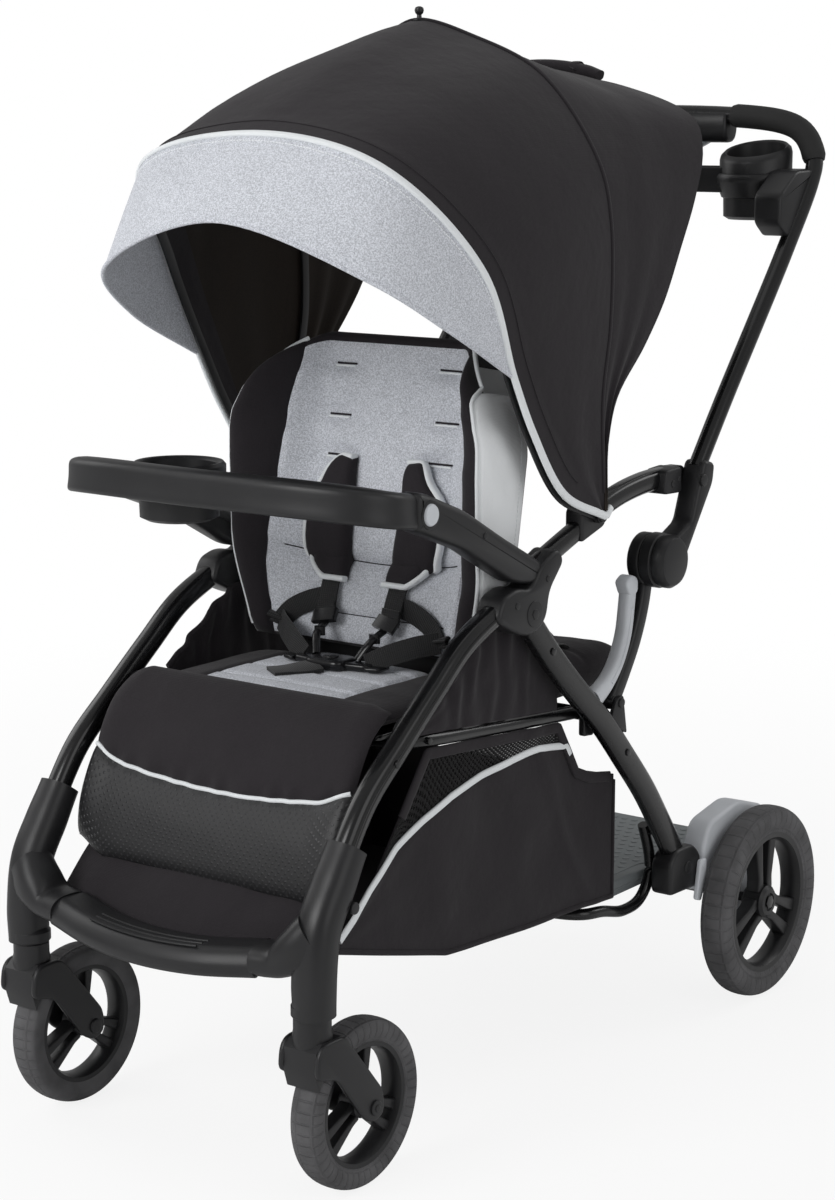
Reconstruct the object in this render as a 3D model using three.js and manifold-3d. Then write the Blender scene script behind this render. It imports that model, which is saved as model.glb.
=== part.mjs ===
// A sit and stand stroller: a folding tube frame on four wheels, with a reclining padded
// seat, a two-bow canopy, child and parent trays, a basket, and a bench and a standing
// platform for a second child at the back.
// Millimetres, +Z up, the front of the stroller towards -Y, the near side towards +X.
// The origin is on the floor, under the middle of the stroller.

import * as THREE from "three";
import { mergeVertices } from "three/addons/utils/BufferGeometryUtils.js";
import Module from "manifold-3d";

const wasm = await Module();
wasm.setup();

// Driving dimensions

const clearance = 0.4;
const overrun = 6;
const rivetRadius = 4;

const frontWheel = { radius: 92, width: 35, rim: 66, hub: 15, bore: 5, y: -412, x: 202 };
const rearWheel = { radius: 123, width: 38, rim: 88, hub: 21, bore: 6, y: 368, x: 247 };
const caster = { trail: 70, stem: 20, pin: 7, bottom: 208, crown: 166, legs: 7, play: 3, side: 17 };

const leg = { x: 205, width: 24, depth: 26 };
const legFoot = { y: -447, z: 348 };
const legTop = { y: -146, z: 585 };
const housing = { width: 44, neck: 33, bar: { y: -484, z: 258 } };
const knuckle = { width: 34, pivot: { y: -112, z: 570 }, pin: 5, head: 16.5 };
const arc = { x: 202, width: 18, depth: 24 };
const arcStart = { y: -92, z: 615 };
const arcEnd = { y: 203, z: 686 };
const handlePivot = { y: 222, z: 682, pin: 5, ear: 14 };
const cheek = { inner: 190, outer: 206.6, cap: 220 };

const rearLeg = { x: 205, width: 22, depth: 31 };
const rearLegFoot = { y: 236, z: 196 };
const bracket = { inner: 190, outer: 220 };
const lug = { y: 84, z: 431, radius: 9, pin: 4, inner: 207.4, outer: 213 };

const handle = { x: 222, tube: 11, foam: 15, bendY: 510, bendZ: 1048, barY: 507, barZ: 1103 };
const sleeve = { inner: 207.2, outer: 237 };
const disc = { y: 157, z: 592, radius: 33, thick: 34, chamfer: 5 };
const arm = { inner: 190.5, outer: 206.6, width: 21 };
const consoleSize = { half: 101, depth: 36, height: 38 };

const seat = { half: 164, front: -322, rear: -130, base: 465, top: 491, board: 7 };
const rail = { x: 180, radius: 8, frontY: -300, frontZ: 452, rearY: 30, rearZ: 425, corner: 34 };
const back = { half: 176, height: 362, lean: 10, hingeY: -118, hingeZ: 462, lift: 42, thick: 34, wing: 72, board: 6, seated: 1.7 };
const canopy = { half: 222, rise: 556, y: 24, z: 662, cloth: 2.4, bow: 12, strip: 3.6 };
const bowInner = { front: 213.8, mid: 217.8 };

const childTray = { half: 216, frontY: -428, seamY: -324, seamZ: 710, band: 38, lift: 18 };
const childCup = { x: -100, y: -336, radius: 42, wall: 3, depth: 62, ring: 52 };
const parentTray = { half: 200, y: 486, z: 1030, height: 32, cupX: 150, cup: 37, wall: 3, depth: 50 };
const basket = { half: 184, wall: 4 };
const platform = { half: 189.6, waist: 168, top: 190, thick: 9, frontY: 122, rearY: 412, skirt: 13 };

// Finishes

const finish = (color, roughness, metalness = 0) =>
  new THREE.MeshStandardMaterial({ color, roughness, metalness });
const paint = finish(0x17171a, 0.42, 0.3);
const plastic = finish(0x202023, 0.62);
const greyPlastic = finish(0x8d929a, 0.5);
const deckGrey = finish(0x5a5d63, 0.6);
const tyreRubber = finish(0x2c2c2f, 0.85);
const foam = finish(0x1d1d1f, 0.9);
const blackCloth = finish(0x1c191d, 0.95);
const greyCloth = finish(0xa9b0bc, 0.95);
const webbing = finish(0x0f0f10, 0.9);
const steel = finish(0x8a8c90, 0.3, 0.9);

// Solids from closed three.js geometry

const weldShare = 1e-4;

function solid(geometry) {
  const bare = new THREE.BufferGeometry();
  bare.setAttribute("position", geometry.attributes.position);
  bare.setIndex(geometry.index);
  const merged = mergeVertices(bare, weldShare);
  const corners = merged.index.array;
  const kept = [];
  for (let i = 0; i < corners.length; i += 3) {
    const [a, b, c] = [corners[i], corners[i + 1], corners[i + 2]];
    if (a !== b && b !== c && a !== c) kept.push(a, b, c);
  }
  return new wasm.Manifold(new wasm.Mesh({
    numProp: 3,
    vertProperties: Float32Array.from(merged.attributes.position.array),
    triVerts: Uint32Array.from(kept),
  }));
}

function join(first, ...others) {
  return others.reduce((sum, other) => sum.add(other), first);
}

function cut(first, ...others) {
  return others.reduce((rest, other) => rest.subtract(other), first);
}

const group = new THREE.Group();

function addPiece(name, shape, material, mirrored = false) {
  const { vertProperties, triVerts } = shape.getMesh();
  const geometry = new THREE.BufferGeometry();
  geometry.setAttribute("position", new THREE.BufferAttribute(vertProperties, 3));
  geometry.setIndex(new THREE.BufferAttribute(triVerts, 1));
  const piece = new THREE.Mesh(geometry, material);
  piece.name = name;
  if (mirrored) piece.scale.x = -1;
  group.add(piece);
}

function addPair(name, shape, material) {
  addPiece(`${name}_right`, shape, material);
  addPiece(`${name}_left`, shape, material, true);
}

// Outlines: lists of [along, up] places

function outlineShape(points) {
  return new THREE.Shape(points.map(([a, b]) => new THREE.Vector2(a, b)));
}

function rounded(points, radius, bends = 1) {
  const soft = [];
  points.forEach((corner, i) => {
    const here = new THREE.Vector2(...corner);
    const before = new THREE.Vector2(...points[(i + points.length - 1) % points.length]);
    const after = new THREE.Vector2(...points[(i + 1) % points.length]);
    const reachIn = Math.min(radius, here.distanceTo(before) / 2.2);
    const reachOut = Math.min(radius, here.distanceTo(after) / 2.2);
    const start = here.clone().add(before.sub(here).setLength(reachIn));
    const end = here.clone().add(after.sub(here).setLength(reachOut));
    const curve = new THREE.QuadraticBezierCurve(start, here, end);
    for (const p of curve.getPoints(bends)) soft.push([p.x, p.y]);
  });
  return soft;
}

function circle(y, z, radius, sides = 16) {
  const points = [];
  for (let i = 0; i < sides; i++) {
    const angle = (i / sides) * 2 * Math.PI;
    points.push([y + radius * Math.cos(angle), z + radius * Math.sin(angle)]);
  }
  return points;
}

function between(from, to, shares) {
  return shares.map(([s, t]) => [from.y + s * (to.y - from.y), from.z + t * (to.z - from.z)]);
}

// A side outline (y, z) pushed along X, a plan outline (x, y) along Z, a front one (x, z) along Y

function extruded(points, length, bevel = 0) {
  return new THREE.ExtrudeGeometry(outlineShape(points), {
    depth: length - 2 * bevel,
    steps: 1,
    bevelEnabled: bevel > 0,
    bevelSize: bevel,
    bevelThickness: bevel,
    bevelOffset: -bevel,
    bevelSegments: 1,
  }).translate(0, 0, bevel);
}

const sideFrame = new THREE.Matrix4().makeBasis(
  new THREE.Vector3(0, 1, 0), new THREE.Vector3(0, 0, 1), new THREE.Vector3(1, 0, 0));
const frontFrame = new THREE.Matrix4().makeBasis(
  new THREE.Vector3(1, 0, 0), new THREE.Vector3(0, 0, 1), new THREE.Vector3(0, -1, 0));

function sidePlate(points, x0, x1, bevel = 0) {
  return solid(extruded(points, x1 - x0, bevel).applyMatrix4(sideFrame).translate(x0, 0, 0));
}

function planPlate(points, z0, z1, bevel = 0) {
  return solid(extruded(points, z1 - z0, bevel).translate(0, 0, z0));
}

function frontPlate(points, y0, y1, bevel = 0) {
  return solid(extruded(points, y1 - y0, bevel).applyMatrix4(frontFrame).translate(0, y1, 0));
}

function box(x0, x1, y0, y1, z0, z1) {
  return planPlate([[x0, y0], [x1, y0], [x1, y1], [x0, y1]], z0, z1);
}

function rodX(place, radius, x0, x1, sides = 10) {
  return sidePlate(circle(place.y, place.z, radius, sides), x0, x1);
}

function rodZ(x, y, radius, z0, z1, sides = 12) {
  return planPlate(circle(x, y, radius, sides), z0, z1);
}

// Tubes: a section pushed along a curve, its first axis kept towards one fixed side

const sideways = new THREE.Vector3(1, 0, 0);
const lengthways = new THREE.Vector3(0, 1, 0);

function ovalSection(width, depth, sides = 8) {
  return circle(0, 0, 1, sides).map(([a, b]) => [a * width / 2, b * depth / 2]);
}

function plateSection(width, depth) {
  return [[-width / 2, -depth / 2], [width / 2, -depth / 2], [width / 2, depth / 2], [-width / 2, depth / 2]];
}

function sweepCurve(curve, section, steps, side = sideways) {
  curve.computeFrenetFrames = (count) => {
    const frames = { tangents: [], normals: [], binormals: [] };
    for (let i = 0; i <= count; i++) {
      const tangent = curve.getTangentAt(i / count);
      const normal = side.clone().addScaledVector(tangent, -side.dot(tangent)).normalize();
      frames.tangents.push(tangent);
      frames.normals.push(normal);
      frames.binormals.push(new THREE.Vector3().crossVectors(tangent, normal));
    }
    return frames;
  };
  return solid(new THREE.ExtrudeGeometry(outlineShape(section), { steps, extrudePath: curve }));
}

function curveThrough(points) {
  return new THREE.CatmullRomCurve3(points.map((p) => new THREE.Vector3(...p)), false, "centripetal");
}

function sideTube(x, places, section, steps) {
  return sweepCurve(curveThrough(places.map(([y, z]) => [x, y, z])), section, steps);
}

// Closed grids: a front and a back surface over the same grid, joined all round.
// Looking at the front, u runs so that the cross product of the u and v steps points out of it

function closedGrid(front, back, across, along) {
  const places = [];
  for (const side of [front, back]) {
    for (let j = 0; j <= along; j++) {
      for (let i = 0; i <= across; i++) places.push(side(i / across, j / along));
    }
  }
  const row = across + 1;
  const total = row * (along + 1);
  const faces = [];
  const quad = (a, b, c, d) => faces.push(a, b, c, a, c, d);
  for (let j = 0; j < along; j++) {
    for (let i = 0; i < across; i++) {
      const a = j * row + i;
      quad(a, a + 1, a + row + 1, a + row);
      quad(a + total, a + total + row, a + total + row + 1, a + total + 1);
    }
  }
  const rim = [];
  for (let i = 0; i < across; i++) rim.push(i);
  for (let j = 0; j < along; j++) rim.push(across + j * row);
  for (let i = across; i > 0; i--) rim.push(along * row + i);
  for (let j = along; j > 0; j--) rim.push(j * row);
  rim.forEach((a, i) => {
    const b = rim[(i + 1) % rim.length];
    quad(a, a + total, b + total, b);
  });
  const geometry = new THREE.BufferGeometry();
  geometry.setAttribute("position", new THREE.Float32BufferAttribute(places.flatMap((p) => p.toArray()), 3));
  geometry.setIndex(faces);
  return solid(geometry);
}

const nudge = 1e-3;

function outward(place, u, v) {
  const du = place(Math.min(u + nudge, 1), v).sub(place(Math.max(u - nudge, 0), v));
  const dv = place(u, Math.min(v + nudge, 1)).sub(place(u, Math.max(v - nudge, 0)));
  return du.cross(dv).normalize();
}

function raised(place, distance) {
  return (u, v) => place(u, v).addScaledVector(outward(place, u, v), distance(u, v));
}

function sheet(place, thickness, across, along) {
  return closedGrid(place, raised(place, () => -thickness), across, along);
}

const ease = (t) => {
  const c = Math.min(Math.max(t, 0), 1);
  return c * c * (3 - 2 * c);
};

// Wheels: a tyre and a rim with three double spokes

const spokeCount = 3;
const wheelSides = 24;
const facetTurn = Math.PI / wheelSides;

function wheelTyre(wheel, center) {
  const { radius, width, rim } = wheel;
  const half = width / 2;
  const tread = radius / Math.cos(facetTurn);
  const shoulder = radius - (radius - rim) * 0.4;
  const profile = [
    [rim + clearance, -half * 0.75], [shoulder, -half], [tread, -half * 0.5],
    [tread, half * 0.5], [shoulder, half], [rim + clearance, half * 0.75],
    [rim + clearance, -half * 0.75],
  ].map(([r, x]) => new THREE.Vector2(r, x));
  const lathe = new THREE.LatheGeometry(profile, wheelSides).rotateZ(-Math.PI / 2).rotateX(facetTurn);
  return solid(lathe.translate(center.x, center.y, center.z));
}

function wheelRim(wheel, center) {
  const { radius, width, rim, hub, bore } = wheel;
  const half = width / 2;
  const band = (radius - rim) * 0.24;
  const ringProfile = [
    [rim - band, -half * 0.6], [rim, -half * 0.72], [rim, half * 0.72],
    [rim - band, half * 0.6], [rim - band, -half * 0.6],
  ].map(([r, x]) => new THREE.Vector2(r, x));
  const ring = solid(new THREE.LatheGeometry(ringProfile, wheelSides).rotateZ(-Math.PI / 2).rotateX(facetTurn));
  const hubBody = rodX({ y: 0, z: 0 }, hub, -half * 0.8, half * 0.8, 12);
  const spokes = [];
  for (let i = 0; i < spokeCount; i++) {
    const turn = (i / spokeCount) * 2 * Math.PI + Math.PI / 2;
    const inner = hub * 0.5;
    const outer = rim - band * 0.5;
    const outline = [
      [inner, -hub * 0.72], [outer, -hub * 0.95], [outer, hub * 0.95], [inner, hub * 0.72],
    ];
    const slot = [
      [hub * 1.15, -hub * 0.16], [outer - band * 1.2, -hub * 0.3],
      [outer - band * 1.2, hub * 0.3], [hub * 1.15, hub * 0.16],
    ];
    const spun = (points) => points.map(([a, b]) => [
      a * Math.cos(turn) - b * Math.sin(turn), a * Math.sin(turn) + b * Math.cos(turn)]);
    const spoke = sidePlate(spun(outline), -half * 0.45, half * 0.45);
    const window = sidePlate(spun(slot), -half, half);
    spokes.push(cut(spoke, window));
  }
  const body = cut(join(ring, hubBody, ...spokes), rodX({ y: 0, z: 0 }, bore + clearance, -width, width, 12));
  return body.translate([center.x, center.y, center.z]);
}

function addWheel(name, wheel, center) {
  addPair(`${name}_tyre`, wheelTyre(wheel, center), tyreRubber);
  addPair(`${name}_rim`, wheelRim(wheel, center), plastic);
}

const frontAxle = { x: frontWheel.x, y: frontWheel.y, z: frontWheel.radius };
const rearAxle = { x: rearWheel.x, y: rearWheel.y, z: rearWheel.radius };
const stem = { x: frontWheel.x, y: frontWheel.y - caster.trail };
addWheel("front", frontWheel, frontAxle);
addWheel("rear", rearWheel, rearAxle);

// Caster forks

function casterFork() {
  const halfFork = frontWheel.width / 2 + caster.play + caster.legs;
  const crownTop = caster.crown + caster.stem;
  const outline = rounded([
    [stem.y - caster.stem * 1.25, caster.crown - caster.stem * 0.8],
    [stem.y - caster.stem * 1.1, crownTop - caster.stem * 0.5],
    [stem.y - caster.stem * 0.6, crownTop],
    [stem.y + caster.stem * 1.05, crownTop],
    [frontAxle.y + caster.side * 0.9, frontAxle.z + caster.side * 0.9],
    [frontAxle.y + caster.side * 0.95, frontAxle.z - caster.side * 0.6],
    [frontAxle.y, frontAxle.z - caster.side],
    [frontAxle.y - caster.side, frontAxle.z - caster.side * 0.5],
    [stem.y + caster.stem * 0.4, caster.crown - caster.stem * 1.2],
  ], caster.side * 0.6);
  const body = sidePlate(outline, stem.x - halfFork, stem.x + halfFork);
  const post = rodZ(stem.x, stem.y, caster.stem, caster.crown, caster.bottom - clearance);
  const pin = rodZ(stem.x, stem.y, caster.pin, caster.bottom - overrun, caster.bottom + 2 * caster.stem);
  const halfSlot = frontWheel.width / 2 + caster.play;
  const wheelSpace = rodX(frontAxle, frontWheel.radius + caster.play, stem.x - halfSlot, stem.x + halfSlot, 24);
  const slot = box(stem.x - halfSlot, stem.x + halfSlot, frontAxle.y - caster.side * 1.5,
    frontAxle.y + 3 * caster.side, 0, crownTop - caster.stem);
  const bolt = rodX(frontAxle, frontWheel.bore, stem.x - halfFork - rivetRadius / 2, stem.x + halfFork + rivetRadius / 2);
  const head = rodX(frontAxle, frontWheel.bore * 1.6, stem.x + halfFork - clearance, stem.x + halfFork + rivetRadius, 6);
  return join(cut(join(body, post, pin), join(wheelSpace, slot)), bolt, head);
}
addPair("caster_fork", casterFork(), plastic);

// Front legs and their lower housings

const legShares = [[0, 0], [0.16, 0.28], [0.35, 0.48], [0.56, 0.69], [0.74, 0.86], [1, 1]];
const legPlaces = between(legFoot, legTop, legShares);
const legTube = (grow) => sideTube(leg.x, legPlaces, ovalSection(leg.width + grow, leg.depth + grow), 8);
addPair("front_leg", legTube(0), paint);

const footBar = { halfLength: 138, bow: 22.1, depth: 56, height: 30 };

function frontHousing() {
  const radius = caster.stem + 1;
  const neckPlaces = [
    [leg.x, stem.y, caster.bottom], [leg.x, stem.y, caster.bottom + radius * 2],
    [leg.x, stem.y + radius * 0.4, caster.bottom + radius * 4.4],
    [leg.x, legFoot.y - leg.depth * 0.1, legFoot.z - leg.depth * 0.3],
    [leg.x, legFoot.y + leg.depth * 0.75, legFoot.z + leg.depth],
  ];
  const body = sweepCurve(curveThrough(neckPlaces), ovalSection(housing.width, 2 * radius + 2), 8);
  const branchPlaces = [
    [leg.x, stem.y + radius * 0.3, housing.bar.z + housing.neck],
    [leg.x - housing.width * 0.75, housing.bar.y + 4, housing.bar.z + housing.neck * 0.2],
    [footBar.halfLength + clearance, housing.bar.y, housing.bar.z],
  ];
  const branch = sweepCurve(curveThrough(branchPlaces), ovalSection(footBar.height + 6, footBar.depth), 5,
    new THREE.Vector3(0, 0, 1));
  const socket = sideTube(leg.x, legPlaces, ovalSection(leg.width + 2 * clearance, leg.depth + 2 * clearance), 8);
  const bore = rodZ(stem.x, stem.y, caster.pin + clearance, caster.bottom - overrun,
    caster.bottom + 2 * caster.stem + clearance);
  const floor = box(0, 2 * leg.x, stem.y - 4 * radius, stem.y + 4 * radius, 0, caster.bottom);
  const bolt = rodX({ y: legFoot.y + leg.depth * 0.2, z: legFoot.z - leg.depth * 1.2 }, rivetRadius,
    leg.x, leg.x + housing.width / 2 + clearance * 3, 8);
  const joint = box(0, footBar.halfLength + clearance, stem.y - 4 * radius, stem.y + 4 * radius, 0, 2 * caster.bottom);
  return cut(join(body, branch, bolt), socket, bore, floor, joint);
}
addPair("front_housing", frontHousing(), plastic);

// Footrest bar between the front housings, with grip ribs

function footrest() {
  const { halfLength, bow, depth, height } = footBar;
  const { y, z } = housing.bar;
  const path = curveThrough([
    [-halfLength, y, z], [-halfLength / 2, y - bow * 0.75, z - bow * 0.3], [0, y - bow, z - bow * 0.4],
    [halfLength / 2, y - bow * 0.75, z - bow * 0.3], [halfLength, y, z],
  ]);
  const section = rounded([
    [height * 0.5, -depth * 0.42], [height * 0.5, depth * 0.3], [-height * 0.1, depth * 0.5],
    [-height * 0.6, depth * 0.4], [-height * 0.25, -depth * 0.4], [height * 0.1, -depth * 0.5],
  ].map(([down, back]) => [-down, back]), height * 0.2);
  const bar = sweepCurve(path, section, 10, new THREE.Vector3(0, 0, 1));
  return bar.intersect(box(-halfLength, halfLength, y - 2 * depth, y + 2 * depth, z - 2 * depth, z + 2 * depth));
}
addPiece("footrest_bar", footrest(), plastic);

// Knuckles, where the front leg, the arc tube, the armrest and the rear leg meet

const arcShares = [[0, 0], [0.18, 0.27], [0.36, 0.53], [0.56, 0.82], [0.78, 0.97], [1, 1]];
const arcPlaces = between(arcStart, arcEnd, arcShares);
const arcTube = (grow) => sideTube(arc.x, arcPlaces, ovalSection(arc.width + grow, arc.depth + grow), 7);
const rearLegShares = [
  [0, 0], [0.17, 0.168], [0.328, 0.302], [0.471, 0.417], [0.62, 0.561], [0.753, 0.695], [0.868, 0.834], [1, 1],
];
const rearLegPlaces = between(knuckle.pivot, rearLegFoot, rearLegShares);
const rearLegTube = (grow) =>
  sideTube(rearLeg.x, rearLegPlaces, ovalSection(rearLeg.width + grow, rearLeg.depth + grow), 9);
const rearLegHead = (grow) =>
  rodX(knuckle.pivot, knuckle.head + grow / 2, rearLeg.x - (rearLeg.width + grow) / 2,
    rearLeg.x + (rearLeg.width + grow) / 2, 14);
const foldTurn = 1.2;
const legPlay = 1.6;

function turnedAbout(shape, place, degrees) {
  return shape.translate([0, -place.y, -place.z]).rotate([degrees, 0, 0]).translate([0, place.y, place.z]);
}

const knuckleShares = [
  [-0.5, 0.02], [-0.42, 0.3], [-0.23, 0.39], [-0.04, 0.33], [0.1, 0.62], [0.34, 0.8],
  [0.42, 0.6], [0.22, 0.25], [0.18, -0.08], [0.08, -0.24], [-0.09, -0.28], [-0.26, -0.18],
];
const knuckleSize = 86;
const knucklePlaces = knuckleShares.map(([s, t]) => [
  knuckle.pivot.y + s * knuckleSize * 1.65, knuckle.pivot.z + t * knuckleSize]);

function knuckleBody() {
  const half = knuckle.width / 2;
  const body = sidePlate(rounded(knucklePlaces, knuckleSize * 0.1), leg.x - half, leg.x + half);
  const swing = turnedAbout(join(rearLegHead(2 * clearance), rearLegTube(2 * legPlay)), knuckle.pivot, foldTurn / 2);
  const pin = rodX(knuckle.pivot, knuckle.pin, leg.x - half, leg.x + half + 1.5);
  const head = rodX(knuckle.pivot, knuckle.pin * 1.6, leg.x + half - clearance, leg.x + half + 2);
  return join(cut(body, legTube(2 * clearance), arcTube(2 * clearance), swing), pin, head);
}
addPair("knuckle", knuckleBody(), plastic);

// Arc tubes with the cheek that carries the handle pivot, and the canopy clip

function pivotBlock() {
  const { y, z, ear, pin } = handlePivot;
  const cap = sidePlate(rounded([
    [y - 4.2 * ear, z - ear * 0.9], [y - 4 * ear, z + ear * 1.15], [y - 1.5 * ear, z + ear * 1.3],
    [y - 1.4 * ear, z - ear],
  ], ear * 0.5), cheek.inner, cheek.cap);
  const lever = sidePlate(rounded([
    [y - 2.2 * ear, z - ear], [y - 2.2 * ear, z + ear * 1.2], [y + ear * 0.4, z + ear * 1.1],
    [y + ear * 1.1, z], [y + ear * 0.4, z - ear],
  ], ear * 0.5), cheek.inner, cheek.outer);
  const pivot = rodX(handlePivot, pin, cheek.outer - clearance, sleeve.outer + 2);
  const head = rodX(handlePivot, pin * 1.5, sleeve.outer + clearance, sleeve.outer + 3);
  return join(cap, lever, pivot, head);
}

function canopyClip() {
  const reach = 30;
  const outer = bowInner.front - clearance;
  const body = sidePlate(rounded([
    [canopy.y - reach, canopy.z - reach * 0.95], [canopy.y - reach, canopy.z + reach * 0.35],
    [canopy.y + reach * 0.7, canopy.z + reach * 0.7], [canopy.y + reach * 0.7, canopy.z - reach * 0.45],
  ], reach * 0.2), arc.x - arc.width / 2 - 3, outer);
  const pin = rodX(canopy, rivetRadius, outer - clearance, bowInner.mid + canopy.strip - clearance, 12);
  return join(body, pin);
}
addPair("arc_tube", join(arcTube(0), pivotBlock(), canopyClip()), paint);

// Rear legs

function rearLegBody() {
  const plate = sidePlate(rounded([
    [lug.y - 2.6 * lug.radius, lug.z - 2.4 * lug.radius], [lug.y - lug.radius, lug.z + lug.radius * 0.6],
    [lug.y + lug.radius * 0.6, lug.z + lug.radius], [lug.y + 1.6 * lug.radius, lug.z - 4.4 * lug.radius],
  ], lug.radius * 0.5), lug.inner, lug.outer);
  const pin = rodX(lug, lug.pin, arm.inner, lug.inner + clearance, 12);
  const bore = rodX(knuckle.pivot, knuckle.pin + clearance, 0, 2 * rearLeg.x, 16);
  return cut(join(rearLegTube(0), rearLegHead(0), plate, pin, rearBracket()), bore);
}

const bracketShares = [
  [-0.55, 0.42], [-0.3, 0.8], [0.32, 0.8], [0.62, 0.35], [0.6, -0.75], [-0.55, -0.7],
];
const bracketSize = 62;

function rearBracket() {
  const places = bracketShares.map(([s, t]) => [
    rearLegFoot.y - rearLeg.depth * 0.25 + s * bracketSize, rearLegFoot.z - rearLeg.depth * 0.15 + t * bracketSize * 0.6]);
  return sidePlate(rounded(places, bracketSize * 0.12), bracket.inner, bracket.outer);
}
addPair("rear_leg", rearLegBody(), paint);

// Folding elbow: outer disc with the handle sleeve, inner disc with the lower arm

const handleFacing = new THREE.Vector3(0, 0.77, -0.63);
const innerDisc = () => rodX(disc, disc.radius - 1, arm.inner, arm.outer, 20);

function handleSleeve() {
  const { y, z } = handlePivot;
  const width = 15;
  const places = rounded([
    [y + width * 0.35, z + width * 1.6], [y + width * 1.95, z + width * 1.2],
    [y + width * 1.7, z - width * 0.4], [disc.y + disc.radius * 0.85, disc.z - disc.radius * 0.1],
    [disc.y, disc.z - disc.radius * 0.3], [disc.y, disc.z + disc.radius * 0.7],
    [y - width * 1.5, z - width * 3.2], [y - width * 0.6, z - width * 0.8],
  ], width * 0.5);
  const body = sidePlate(places, sleeve.inner, sleeve.outer);
  const cap = sidePlate(circle(disc.y, disc.z, disc.radius, 20), sleeve.inner, sleeve.inner + disc.thick, disc.chamfer);
  const bolt = rodX(disc, rivetRadius, sleeve.outer, sleeve.inner + disc.thick + 1, 6);
  const bore = rodX(handlePivot, handlePivot.pin + clearance, 0, 2 * handle.x);
  return cut(join(body, cap, bolt), handleTube(handle.tube + clearance), bore);
}

function handleTube(radius) {
  const start = { y: handlePivot.y + 9, z: handlePivot.z + 12 };
  const right = [
    [handle.x, start.y, start.z],
    [handle.x, handlePivot.y + 70, handlePivot.z + 89], [handle.x, handlePivot.y + 217, handlePivot.z + 267],
    [handle.x, handle.bendY - 10, handle.bendZ - 16], [handle.x - 3, handle.bendY + 2, handle.bendZ + 8],
    [handle.x - 18, handle.barY + 5, handle.barZ - 16], [handle.x - 50, handle.barY, handle.barZ],
  ];
  const left = right.map(([x, y, z]) => [-x, y, z]).reverse();
  return sweepCurve(curveThrough([...right, ...left]), ovalSection(2 * radius, 2 * radius), 44, handleFacing);
}
addPair("handle_sleeve", handleSleeve(), plastic);
addPiece("handle_tube", handleTube(handle.tube), paint);

// Grips, centre console and fold trigger

function gripFoam() {
  const lean = new THREE.Vector2(0.63, 0.77);
  const start = [handle.bendY + 1, handle.bendZ + 4];
  const reach = 3 * handle.foam;
  const keep = sidePlate([
    [start[0] - reach * lean.y, start[1] + reach * lean.x], [start[0] + reach * lean.y, start[1] - reach * lean.x],
    [handle.bendY + 2 * reach, handle.barZ + reach], [handle.bendY - 2 * reach, handle.barZ + reach],
  ], consoleSize.half + clearance, handle.x + reach);
  return cut(handleTube(handle.foam).intersect(keep), handleTube(handle.tube + clearance));
}
addPair("grip", gripFoam(), foam);

const trigger = { half: 70, width: 16, top: 20.4, drop: 37, travel: 5 };

function gripConsole() {
  const { half, depth, height } = consoleSize;
  const { barY: y, barZ: z } = handle;
  const outline = rounded([
    [y - depth / 2, z - height * 0.3], [y - depth * 0.42, z + height * 0.3], [y, z + height * 0.47],
    [y + depth * 0.42, z + height * 0.3], [y + depth / 2, z - height * 0.3], [y + depth * 0.3, z - height * 0.72],
    [y - depth * 0.3, z - height * 0.72],
  ], height * 0.2);
  const body = sidePlate(outline, -half, half, 1.5);
  const pocket = box(-trigger.half - clearance, trigger.half + clearance,
    y - trigger.width / 2 - clearance, y + trigger.width / 2 + clearance,
    z - 2 * height, z - trigger.top + trigger.travel + clearance);
  return cut(body, pocket, handleTube(handle.tube + clearance));
}
addPiece("handle_console", gripConsole(), plastic);

function foldTrigger() {
  const { barY: y, barZ: z } = handle;
  const { half, width, top, drop } = trigger;
  const outline = [
    [-half, z - top], [half, z - top], [half, z - drop * 0.72], [half * 0.7, z - drop],
    [-half * 0.7, z - drop], [-half, z - drop * 0.72],
  ];
  return frontPlate(rounded(outline, 4), y - width / 2, y + width / 2);
}
addPiece("fold_trigger", foldTrigger(), greyPlastic);

// Parent tray with its two cup wells and clamps round the handle tube

function parentTrayBody() {
  const { half, y, z, height, cupX, cup, wall, depth } = parentTray;
  const outer = cup + wall + 6;
  const plan = [
    [-half, y - outer * 0.6], [-cupX, y - outer * 1.15], [-cupX * 0.5, y - outer * 0.85],
    [cupX * 0.5, y - outer * 0.85], [cupX, y - outer * 1.15], [half, y - outer * 0.6],
    [half, y + outer * 0.7], [cupX, y + outer], [cupX * 0.5, y + outer * 0.8],
    [-cupX * 0.5, y + outer * 0.8], [-cupX, y + outer], [-half, y + outer * 0.7],
  ];
  let body = planPlate(rounded(plan, 22), z - height / 2, z + height / 2);
  const middle = rounded([
    [-cupX * 0.55, y - outer * 0.6], [cupX * 0.55, y - outer * 0.6],
    [cupX * 0.55, y + outer * 0.55], [-cupX * 0.55, y + outer * 0.55],
  ], 12);
  body = cut(body, planPlate(middle, z - height / 2 + wall, z + height));
  const wells = [-cupX, cupX].map((x) => join(
    rodZ(x, y, cup + wall, z - depth, z + height * 0.85, 16), rodZ(x, y, outer, z, z + height * 0.7, 16)));
  const bores = [-cupX, cupX].map((x) => rodZ(x, y, cup, z - depth + wall, z + 2 * height, 16));
  const clampPlaces = [
    [y - 72, z - height * 1.6], [y - 72, z - height * 0.5], [y - 30, z + height * 0.4],
    [y + 26, z + height * 0.45], [y - 20, z - height * 1.5], [y - 46, z - height * 2.2],
  ];
  const clamp = sidePlate(rounded(clampPlaces, 8), half - 12, handle.x + 4);
  const clamps = [clamp, clamp.mirror([1, 0, 0])];
  return cut(join(body, ...wells, ...clamps), ...bores, handleTube(handle.tube + clearance));
}
addPiece("parent_tray", parentTrayBody(), plastic);

// Lower arms of the folding elbow

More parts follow.
